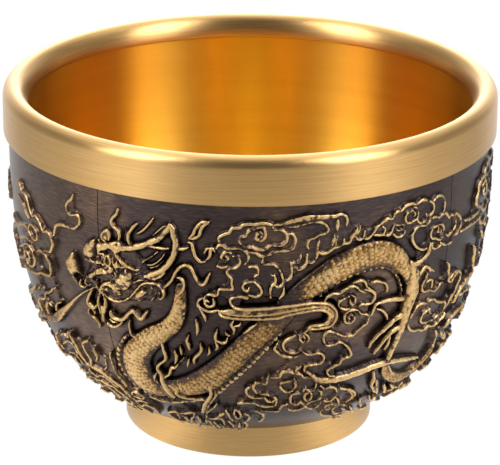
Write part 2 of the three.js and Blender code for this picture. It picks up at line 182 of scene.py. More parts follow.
     (13.9, 21.15), (13.6, 20.5), (12.8, 20.2), (12.1, 19.9), (11.8, 19.4), (12, 18.95), (12.5, 18.5),
     (13.3, 18.3)],
    [(7.6, 26.4), (8.05, 26.15), (8.35, 25.6), (8.2, 25.05), (7.8, 24.85), (7.3, 25.2), (7.1, 25.7),
     (7.5, 26), (7.8, 25.6)],
    [(6.4, 26.15), (5.55, 25.7), (5, 25.2), (4.8, 24.6), (5.1, 23.95), (5.7, 23.45), (6.5, 23.3),
     (7.2, 23.5), (7.5, 23.9)],
    [(4, 25), (3.7, 24.5), (3.65, 24), (4.1, 23.5), (4.7, 22.95), (5.6, 22.7), (6.4, 22.6), (7.2, 22.9),
     (7.6, 23)],
    [(7.5, 23.6), (8.1, 23), (8.9, 22.75), (9.8, 22.9), (10.5, 22.7), (10.9, 22.1), (10.85, 21.4),
     (10.3, 21), (9.3, 20.95), (8.5, 20.9), (8.15, 20.45), (8.3, 19.95), (9, 19.5), (9.9, 19),
     (10.6, 18.3), (11.5, 17.8)],
    [(0.75, 17.1), (1.1, 18), (1.9, 18.1), (2.6, 18), (2.8, 18.8), (3.2, 19.2), (4, 19.15), (4.6, 19.2),
     (5, 19.9), (5.8, 20.1), (6.4, 19.8), (7.1, 19.6), (7.8, 19.4), (8.3, 18.8), (9.4, 18.5),
     (10.3, 17.95), (11.1, 17.3)],
    [(4.85, 17), (4.8, 17.7), (5.3, 18.1), (6, 18.2), (6.8, 18.4), (7.2, 18), (7.25, 17)],
    [(7, 19.7), (7, 20.3), (7.6, 20.8)],
    [(25.3, 26.9), (25.9, 27.2), (26.7, 27.4), (27.5, 27.2), (28.4, 27.4), (29.2, 27.3), (29.9, 26.8),
     (30.6, 26.4), (31.4, 26.1), (32.3, 25.9), (32.7, 25.4), (32.5, 24.5)],
    [(28.9, 25.9), (28.1, 25.8), (27.3, 25.5), (27.1, 24.8), (27.5, 24.1), (28.5, 23.8), (29.5, 23.8),
     (30.3, 23.7), (31, 23.95), (32, 24.2), (32.6, 24.2)],
    [(28.6, 26), (28.9, 25.3), (29.4, 25)],
    [(25.3, 26.9), (25.1, 26.3), (24.6, 25.5), (24.5, 24.7), (24.9, 24), (25.6, 23.35), (26.4, 23.05),
     (27.3, 23), (28.1, 22.6), (28.9, 22.6), (29.6, 22.9), (30.3, 22.6), (31.3, 22.45), (32.1, 22.85),
     (33, 23.15), (33.5, 23.7)],
    [(26.7, 32), (26.1, 30.8), (25.9, 30.2), (26.2, 29.5), (26.9, 29.2), (27.8, 29.15), (28.7, 28.75),
     (29.5, 28.9), (30, 29.4), (30.6, 29.5)],
    [(26.7, 30.6), (27.3, 30.8), (28, 30.6), (28, 29.5)],
    [(31.4, 32), (31.6, 31), (31.9, 30.1), (32.1, 29.4), (32.6, 28.95), (33.1, 28.95), (33.7, 29.6),
     (34.4, 29.9), (35, 29.9)],
    [(35, 27.4), (34.4, 26.7), (33.8, 25.9), (33.1, 25)],
    [(32.7, 20.9), (33.4, 19.8), (33.5, 18.7), (34.1, 17.6)],
]

# Clouds and waves low down, by the foot
LOW_LINES = [
    [(1.9, 16), (1.25, 16.3), (0.85, 16.9), (0.7, 17.5), (1.1, 18)],
    [(1.9, 16), (2.8, 15.9), (3.3, 15.6), (4, 15.2), (4.45, 14.7), (4.5, 13.8), (4.3, 13.3), (3.6, 13.1),
     (2.5, 13.15), (1.7, 13.5), (0.8, 14), (0.2, 14), (-0.6, 14), (-1.7, 13.8)],
    [(0.2, 17.3), (-0.3, 16.8), (-0.2, 15.9), (0.35, 15.35), (1, 15.1), (1.4, 15.15), (2.4, 15.15),
     (2.8, 14.8), (3.2, 14.3), (3.9, 14.3), (4.2, 14.7)],
    [(4.8, 18), (4.85, 17.2), (5.4, 16.5), (6, 16.05), (6.7, 16.3), (6.9, 16.2)],
    [(6.95, 18), (7.2, 17.2), (6.95, 16.6)],
    [(8.05, 15.65), (7.3, 15.65), (6.8, 15.35), (6.7, 14.6), (6.95, 13.7), (7.55, 13.2), (8.2, 13.2),
     (8.5, 13.8), (8.9, 13.3), (9.6, 13.05), (10.2, 13.5)],
    [(9.6, 15.75), (9.1, 15.4), (9, 14.7), (9.4, 14), (9.9, 13.95), (10.2, 14.7), (9.95, 15.5),
     (9.6, 15.75)],
    [(8.6, 16.05), (8.8, 16.5), (9.7, 16), (10.2, 16.05), (10.45, 16.5), (10.45, 17.3)],
    [(11, 15.9), (11.6, 15.5), (11.8, 14.8), (11.7, 14), (11.1, 13.7), (10.3, 13.6)],
    [(12.3, 15.9), (12.9, 16.25), (13.9, 15.8), (14.45, 15), (14.6, 14.25), (14.2, 13.4), (13.5, 13.05),
     (12.7, 13.2)],
    [(11.2, 16.8), (12, 16.1)],
    [(9.2, 12.85), (9.7, 12.5), (10.2, 12), (11, 11.7), (11.7, 12), (12.1, 12.6), (12.2, 13)],
    [(6.7, 12.4), (7.2, 11.8), (8.3, 11.8), (9.1, 12), (9.6, 12.45)],
    [(2.2, 12.1), (3, 12), (4, 11.85), (5.1, 11.9), (5.4, 12.6), (5.7, 13.2), (6.4, 13.4)],
    [(1.25, 12), (1.95, 11.6), (2.5, 10.9), (2.65, 10.1), (2.4, 9.3), (2, 8.9)],
    [(16.1, 14.65), (17, 14.4), (17.6, 13.8), (17.9, 13.1), (17.6, 12.4), (17.2, 11.9)],
    [(14.6, 13.7), (15.4, 12.9), (15.8, 11.9)],
    [(15.9, 11.6), (16.7, 11.5), (17.4, 11.1)],
    [(15.4, 11.3), (15.3, 10.5), (15.7, 9.7), (16.7, 9.1), (18, 9)],
    [(13, 10.6), (13.2, 9.8), (14, 9.1), (15.1, 8.8), (16, 8.3), (17.1, 8), (18, 7.9)],
    [(13.2, 11), (13.9, 11.4), (14.4, 11.9), (15, 12.2)],
    [(-5.2, 16.5), (-5.1, 15.5), (-5.6, 14.5), (-6.2, 13.6), (-6.7, 12.7), (-7.05, 11.6), (-7.3, 10.5),
     (-7.6, 9.4), (-7.8, 8.3), (-8, 7.4)],
    [(-5.2, 13.4), (-5.8, 12.6), (-6.6, 11.8), (-7, 11.1)],
    [(-17, 13), (-15.9, 12.85), (-14.8, 12.65), (-13.4, 12.65), (-11.7, 12.9), (-10.3, 13.35),
     (-8.7, 13.7)],
    [(-10.9, 15.2), (-10.5, 14.7), (-9.8, 14.2), (-8.7, 14), (-7.3, 14.25), (-6.7, 14.3)],
    [(-14.75, 18), (-14.6, 17.1), (-14.1, 16.4), (-13.8, 15.9), (-13.5, 15.1), (-13.1, 14.1),
     (-12.5, 13.5)],
    [(-13, 18), (-13, 17), (-13.05, 16), (-12.8, 14.8), (-12.3, 14.1)],
    [(-2.3, 12), (-2.4, 11.2), (-2.1, 10.2), (-1.6, 10), (-1.3, 10.8), (-1.6, 11.9), (-2, 12.15)],
    [(-0.5, 11.3), (0.1, 10.8), (0.15, 9.95), (-0.2, 9.2)],
    [(-0.75, 8.8), (-0.3, 8.1), (-0.25, 7.2), (-0.6, 6.2)],
    [(-1.6, 8.3), (-1.7, 7.4), (-1.5, 6.2), (-1.9, 4.8)],
    [(-14.9, 9.4), (-14.2, 9.8), (-13.4, 10.1), (-12.4, 10), (-11.4, 10.1), (-10.5, 10.4), (-9.8, 10.5)],
    [(-7.3, 9.7), (-6.4, 9.4), (-5.5, 9.8), (-4.5, 10.8), (-4.2, 10.9)],
    [(-5.2, 9.8), (-4.7, 9.6), (-4.4, 8.3), (-4.6, 7.4)],
    [(23, 18), (23.6, 17.2), (24.4, 16.3), (25.3, 15.5), (26.2, 14.8), (27.3, 14.2), (28.4, 13.8),
     (29.6, 13.9), (31, 14.5), (32.3, 15.2), (33.6, 16.2), (34.3, 17.1)],
    [(-15, 9.2), (-14.6, 8.2), (-13.9, 7.3), (-12.9, 6.8)],
    [(-12.4, 9.8), (-11.8, 9), (-11.5, 8.2), (-11.9, 7.4)],
    [(-9.6, 10.4), (-9.9, 9.4), (-10.6, 8.6), (-10.9, 7.4), (-11.5, 6.6), (-12.3, 6.2)],
    [(-13.2, 9.4), (-12.9, 8.6), (-13.3, 7.9)],
    [(-9.2, 9.6), (-9, 8.4), (-9.4, 7.2), (-9.9, 6.4), (-10.1, 5.4)],
    [(-8.6, 7.8), (-8.2, 6.9), (-8.5, 6), (-8.9, 5.4)],
    [(-7.5, 8.9), (-7, 8), (-6.6, 7), (-6.3, 6), (-6.4, 5)],
    [(-6.4, 8.2), (-6, 7.4), (-5.7, 6.6), (-5.6, 5.6), (-5.9, 4.8)],
    [(-5.3, 7.6), (-4.8, 7), (-4.2, 7.2), (-3.8, 6.7)],
    [(-4.6, 6), (-3.9, 6.4), (-3.4, 6.1), (-3.2, 5.4), (-3.4, 4.8)],
    [(-3.6, 8.8), (-3.2, 8), (-2.8, 7.2), (-2.9, 6.5)],
    [(-3.8, 11.8), (-3.4, 11), (-3.2, 10), (-2.8, 9.2)],
    [(-4.1, 11.3), (-4.8, 10.8), (-5.4, 10.2)],
    [(15, 15.4), (16, 15.1), (17, 14.7), (18, 14), (18.4, 13.2), (18.2, 12.4)],
    [(13.4, 11.6), (13.8, 10.9), (14.6, 11.2), (15.1, 11.9), (14.5, 12.2), (13.7, 12.1), (13.4, 11.6)],
    [(15.6, 9.6), (16.4, 8.9), (17.4, 8.2), (18.6, 7.9)],
    [(17, 10.3), (18, 9.7), (19, 8.9), (19.8, 8.6)],
    [(19.2, 9.9), (20, 9.2), (20.6, 8.3), (21.4, 7.8)],
    [(17.2, 7), (18.4, 6.8), (19.4, 6.2)],
    [(20.4, 11.6), (20.9, 10.6), (21.6, 9.9), (22.2, 9)],
    [(22.4, 11.6), (23, 10.8), (23.8, 10.3), (24.6, 10.5)],
    [(24.9, 10), (25.8, 9.4), (26.8, 9.3)],
    [(22.2, 8.6), (23.2, 8), (24.4, 8.1)],
    [(36.3, 9.8), (35, 9.4), (33.6, 9.9), (32.6, 9.4)],
    [(27.6, 9.6), (28.8, 10.2), (30, 9.9), (31, 10.6)],
    [(27, 11.4), (28.2, 11.8), (29.4, 11.4), (30.4, 12)],
]

# What stands higher than the clouds: their thick tails and lumps, the dragon's hind leg with its claws and
# spurs, the fold where its body crosses itself, and leaf-like tufts. Stations are (a, t, half width, height)
# in all rolls.
CLAW_ROLLS = [
    [(4.6, 42.5, 0.2, 0.85), (6.2, 43, 0.38, 0.93), (8, 43.2, 0.5, 0.96), (9.8, 43.2, 0.42, 0.96),
     (11.2, 43.2, 0.3, 0.93)],
    [(11.75, 42.4, 0.3, 0.95), (11.7, 41.8, 0.38, 1), (11.65, 41.2, 0.2, 0.9)],
    [(11.3, 40.4, 0.25, 0.9), (11.25, 39.8, 0.35, 1), (11, 39.2, 0.25, 0.95)],
    [(14.6, 41, 0.25, 0.9), (14.2, 40.5, 0.35, 1), (13.6, 40, 0.25, 0.95)],
    [(23.3, 34.3, 0.6, 1), (23.8, 33.2, 1, 1.15), (24.1, 31.6, 1.2, 1.17), (24.2, 30, 1.3, 1.17),
     (23.9, 28.3, 1.1, 1.17), (23.6, 26.6, 0.95, 1.15), (23.5, 25, 0.75, 1.12), (23.1, 23, 0.62, 1.1),
     (22.6, 21, 0.57, 1.05), (22.4, 19.3, 0.5, 1)],
    [(23.4, 34, 0.4, 1.05), (24.6, 34.1, 0.42, 1.08), (25.6, 34.4, 0.38, 1.05), (26.3, 35, 0.33, 1),
     (26.7, 35.8, 0.28, 0.95), (27, 36.3, 0.2, 0.9)],
    [(24.6, 31.8, 0.45, 1.05), (25.3, 32.6, 0.36, 1.02), (26, 33.2, 0.3, 1), (26.6, 33, 0.24, 0.95),
     (27.2, 32.2, 0.2, 0.9)],
    [(-13.3, 18.2, 0.45, 1.12), (-13.3, 16.8, 0.6, 1.17), (-12.9, 15.4, 0.62, 1.17), (-12.3, 14, 0.35, 1)],
    [(-12.4, 16.6, 0.3, 1.1), (-11.3, 15.9, 0.4, 1.15), (-11.5, 15, 0.4, 1.12), (-10.5, 14.4, 0.35, 1.1),
     (-9, 14.25, 0.25, 1)],
    [(-5.9, 17.4, 0.3, 1.15), (-5.8, 16, 0.35, 1.17), (-6.2, 14.8, 0.38, 1.12), (-6.9, 13.6, 0.42, 1.08),
     (-7.4, 12.4, 0.42, 1.05), (-7.8, 11.2, 0.35, 1)],
    [(22.6, 29.2, 0.45, 1), (21, 29.5, 0.4, 1), (19.4, 29.6, 0.32, 1), (17.8, 29.4, 0.22, 0.9)],
    [(17.9, 29.2, 0.3, 0.95), (17.6, 28.2, 0.3, 0.95), (17, 27.3, 0.2, 0.9)],
    [(18.3, 28.6, 0.22, 0.9), (19.2, 28.2, 0.3, 0.95), (20, 27.3, 0.3, 0.95), (20.4, 26.5, 0.2, 0.85)],
    [(22.8, 26.6, 0.55, 1), (21.6, 26.1, 0.5, 1.05), (20.4, 25.2, 0.45, 1.05), (19.2, 24.3, 0.4, 1),
     (18.3, 23.2, 0.3, 0.95), (18.1, 22.3, 0.2, 0.85)],
    [(22.8, 24.6, 0.5, 1), (21.6, 24.2, 0.45, 1.05), (20.6, 23.2, 0.4, 1), (19.9, 22.2, 0.35, 0.95),
     (19.3, 21, 0.2, 0.85)],
    [(21.4, 23.6, 0.3, 0.95), (21.5, 22.4, 0.3, 0.95), (21.1, 21.3, 0.2, 0.85)],
    [(20.4, 17.4, 0.25, 0.95), (20.9, 16.2, 0.35, 1), (21, 15.2, 0.35, 1), (21.3, 14.4, 0.35, 1),
     (22, 13.6, 0.35, 1), (22.6, 12.9, 0.3, 0.95), (23.4, 12.4, 0.25, 0.9), (24.2, 11.6, 0.2, 0.8)],
    [(21.9, 15.2, 0.3, 0.95), (22.3, 14.2, 0.35, 1), (22.9, 13.3, 0.3, 0.95), (23.7, 12.4, 0.2, 0.85)],
    [(24.6, 13.4, 0.3, 0.95), (25.4, 12.4, 0.35, 1), (25.9, 11.6, 0.3, 0.95), (26.6, 11.2, 0.2, 0.85)],
    [(26.4, 13, 0.25, 0.9), (27.4, 12.2, 0.35, 0.95), (28.2, 11.6, 0.25, 0.9)],
]

# Broad ribbons of cloud, with a line along each edge
RIBBON_ROLLS = [
    [(-3.8, 30, 0.3, 1.04), (-2.4, 29.95, 0.6, 1.06), (0, 29.85, 0.75, 1.06), (3, 29.95, 0.8, 1.06),
     (5.5, 30.2, 0.72, 1.06), (8, 30.45, 0.6, 1.06), (10, 30.3, 0.55, 1.06), (11.2, 29.4, 0.52, 1.06),
     (11.4, 28.4, 0.48, 1.06), (10.7, 27.6, 0.4, 1.04), (9.4, 27.35, 0.32, 0.9), (8.2, 27.2, 0.25, 0.9)],
    [(8.2, 20.3, 0.25, 0.9), (9.4, 19.2, 0.35, 1.06), (11, 18, 0.5, 1.06), (13, 17.65, 0.6, 1.1),
     (16, 17.85, 0.6, 1.1), (19, 18.5, 0.55, 1.1), (22, 18.8, 0.5, 1.1), (25, 18.4, 0.45, 1.06),
     (28, 17.7, 0.4, 1.04), (30.2, 17.1, 0.25, 0.85)],
]
RIBBON_LINES = [
    [(-2.2, 31), (-1.4, 30.6), (0, 30.5), (2, 30.6), (4, 30.8), (6, 30.95), (8, 31.1), (9.7, 31),
     (10.8, 30.7), (11.5, 30.1), (11.95, 29.4), (12, 28.6), (11.8, 28), (11.3, 27.4), (10.6, 27.15),
     (9.3, 27.1), (8.4, 27.1)],
    [(-4, 29.9), (-3.6, 29.45), (-2.4, 29.2), (0, 29.1), (2.5, 29.1), (4.1, 29.2), (5, 29.55),
     (6.5, 29.8), (8, 29.95), (9.4, 30), (10.3, 29.75), (10.85, 29.25), (11, 28.6), (10.85, 28.1),
     (10.4, 27.7), (9.6, 27.6), (8.6, 27.55), (8.1, 27.2)],
    [(-2.6, 29.75), (0, 29.65), (2.6, 29.8), (5, 30.15), (7.4, 30.45), (9.2, 30.5)],
]

# What shows at the two edges of the photograph, where the next figure's clouds begin
EDGE_LINES = [
    (0.3, 0.95, [(32.4, 29.6), (33.5, 30), (34.6, 29.9), (35.4, 29.3), (35.4, 28.4), (34.9, 27.4),
     (34.4, 26.6), (34.2, 25.5)]),
    (0.5, 1.05, [(35, 25), (36, 26.2), (37, 26.9), (38.3, 27.3), (39.7, 27.6), (40.6, 28)]),
    (0.4, 1, [(40.3, 28.4), (39.9, 29.5), (39.5, 31), (39.3, 32)]),
    (0.4, 1, [(37.3, 25.2), (38.5, 25.4), (40, 25.2), (42, 24.9)]),
    (0.4, 1, [(35.2, 20.8), (36.3, 21.8), (37.5, 22.3), (39, 22.5), (41, 22.5)]),
    (0.5, 1, [(34.6, 20), (35.4, 19.4), (36.4, 19), (37.4, 18)]),
    (0.35, 0.95, [(34, 36), (36, 36.1), (38.5, 36), (41, 36)]),
    (0.35, 0.95, [(35.2, 37.2), (37, 37), (39.5, 37.2), (41.5, 37.6)]),
    (0.38, 1, [(39, 40), (40, 41.4), (41.5, 41.8), (42.6, 42.8), (44.2, 43.2), (46, 42.8),
     (47.4, 43.4), (49, 43), (50, 41.8), (50.4, 40.4)]),
    (0.35, 1, [(41, 40.4), (42, 40.9), (43, 40.3), (43, 39.3), (42.2, 38.8), (41.5, 39.3), (41.9, 39.9)]),
    (0.35, 1, [(44.4, 41.4), (45.6, 41.6), (46.4, 40.8), (46, 39.8), (45, 39.7), (44.7, 40.4)]),
    (0.38, 1, [(39, 40), (38.6, 38.8), (39.4, 37.8), (40.6, 37.4), (41.6, 36.6), (43, 36.4), (44.4, 37),
     (45.8, 36.6), (47, 37.2), (48.6, 37), (50, 38), (50.6, 39.4)]),
    (0.35, 0.95, [(40, 36), (41, 35), (42.4, 34.6), (43.8, 35), (45.2, 34.4), (46.8, 34.6), (48, 35.6),
     (49.4, 35.4)]),
    (0.35, 0.95, [(42, 33.4), (43, 32.2), (44.6, 31.8), (46, 32.6), (47.4, 32.2), (48.8, 33)]),
    (0.35, 0.95, [(44, 33.6), (45, 34.2), (46, 33.6)]),
    (0.35, 0.95, [(43, 29.8), (44.2, 29), (45.6, 29.2), (46.4, 28.2), (45.8, 27.2), (44.6, 27.3),
     (44.2, 28)]),
    (0.35, 0.95, [(42.8, 20.4), (44, 21.2), (45.4, 21), (46.4, 22), (47.8, 21.8)]),
    (0.35, 0.95, [(38.4, 14.8), (39.4, 15.8), (40.8, 16), (41.8, 17), (43.2, 16.8), (44, 15.8)]),
    (0.3, 0.9, [(36, 12.2), (37.2, 12.8), (38.4, 12.4), (39.6, 13)]),
]

# Round base that the head's features stand on
HEAD_BASE = [
    (-25, 31), (-22.4, 29.9), (-19, 29.3), (-16, 29.9), (-12, 31), (-11.2, 33), (-13.6, 34.8), (-15, 37),
    (-18, 38.2), (-22, 37.4), (-24.2, 35.6), (-23.4, 33.6),
]

# Where one of the clouds stands again to fill the sides, as (a, t, how much larger). The cloud is a few of
# CLOUD_LINES, about this t.
SIDE_CLOUDS = [
    (-54.3, 36.5, 1), (-52.4, 27.8, 1.45), (-58.6, 19.6, 1), (-53.4, 13.2, 1.4), (-48.6, 20.6, 0.7),
    (-58.5, 6.5, 1), (-48, 6.2, 1),
]
SIDE_CLOUD_LINES = slice(3, 6)
CLOUD_MIDDLE = 41

# Flames of the mane and fins, whiskers and tongues of cloud round the dragon
HAIR_LINES = [
    [(-9.8, 39.1), (-9.4, 38.65), (-8.7, 38.7), (-8, 39)],
    [(-8.1, 39.75), (-7.6, 39.6), (-7.3, 38.5), (-7.05, 37.7), (-6.5, 37.15), (-5.8, 37.1)],
    [(-5.75, 37.3), (-5.2, 37.95), (-5.05, 38.8), (-4.8, 39.1), (-4.45, 38.6)],
    [(-5.9, 38.3), (-5.6, 38.95), (-5.1, 39.15)],
    [(-8, 40.3), (-7.4, 40.9), (-7, 41.8), (-6.4, 42.5), (-5.8, 42.75), (-5.2, 42.8)],
    [(-8, 40.3), (-7.3, 40.3), (-6.6, 40.8), (-6.4, 41.5), (-6, 42.2), (-5.3, 42.6)],
    [(-11.5, 32.8), (-10.6, 33.7), (-10.1, 34.6), (-9.7, 35.4), (-9.1, 36.1), (-8.4, 36.4), (-7.8, 36.2),
     (-7.4, 35.6), (-7.1, 34.9), (-6.7, 34.1), (-6.2, 33.8), (-5.75, 34.2), (-5.4, 35), (-5.1, 35.6)],
    [(-9.7, 34.5), (-9.2, 34.55), (-8.75, 34), (-8.7, 33.1), (-9.2, 32.3), (-9.6, 31.9)],
    [(-6.9, 31.4), (-6.7, 30.6), (-6.1, 30.2), (-5.2, 29.95), (-4.1, 30.2), (-4, 29.9)],
    [(-4.8, 31.9), (-4.65, 31.2), (-4.9, 30.75), (-5.5, 30.75), (-5.85, 31.2), (-5.6, 31.6), (-5.2, 31.3)],
    [(-6.2, 31.9), (-6.7, 31.5), (-6.9, 31)],
    [(-7, 30.8), (-6.4, 30.1), (-6.05, 29.3), (-5.8, 28.3)],
    [(-4.3, 27.1), (-4.6, 26.1), (-4.5, 25.1), (-4.35, 24.3), (-4.7, 23.8)],
    [(-4.5, 25.5), (-3.8, 25.1), (-3.2, 25.2), (-2.9, 25.9)],
    [(-3.2, 26.6), (-2.6, 26.2)],
    [(-6.8, 24.6), (-6.65, 23.7), (-7, 23), (-7.6, 22.4), (-7.85, 21.8), (-7.8, 21)],
    [(-5.6, 24.1), (-5.5, 23.4), (-5.9, 22.8)],
    [(-7.2, 28.5), (-7.05, 27.5), (-7.05, 26.7), (-7.2, 26)],
    [(-8.4, 25.8), (-8.65, 25), (-8.5, 24.2), (-8.3, 23.5)],
    [(-9.8, 23.7), (-9.65, 23.1), (-9.6, 22.5)],
    [(-10.7, 22.9), (-10.45, 22.2), (-10.6, 21.4), (-10.9, 20.7)],
    [(-8.6, 21.9), (-8.8, 21.2), (-8.95, 20.5)],
    [(-10.1, 21.1), (-9.4, 21.9)],
    [(-12.4, 24.2), (-12.35, 23.1), (-12.15, 22), (-12.3, 21.2), (-13.1, 20.5), (-13.7, 19.8),
     (-13.8, 19.1), (-13.4, 18.4), (-13, 18), (-12.4, 18.4), (-11.9, 18.9), (-11.6, 19.8), (-10.9, 20.1),
     (-10.4, 20.7)],
    [(-14.8, 17), (-14.6, 17.8), (-14.2, 18.4)],
    [(-17, 28), (-16.4, 28.5), (-15.9, 28), (-15.2, 27.6), (-14.8, 27.9), (-14.3, 28.5), (-14.1, 28.8)],
    [(-2, 28.8), (-2.35, 28), (-2, 27.3), (-2.1, 26.5)],
    [(-2, 27.85), (-1.3, 28), (-1.05, 28.5)],
    [(1, 28.25), (0.1, 27.4), (-0.75, 26.7)],
]

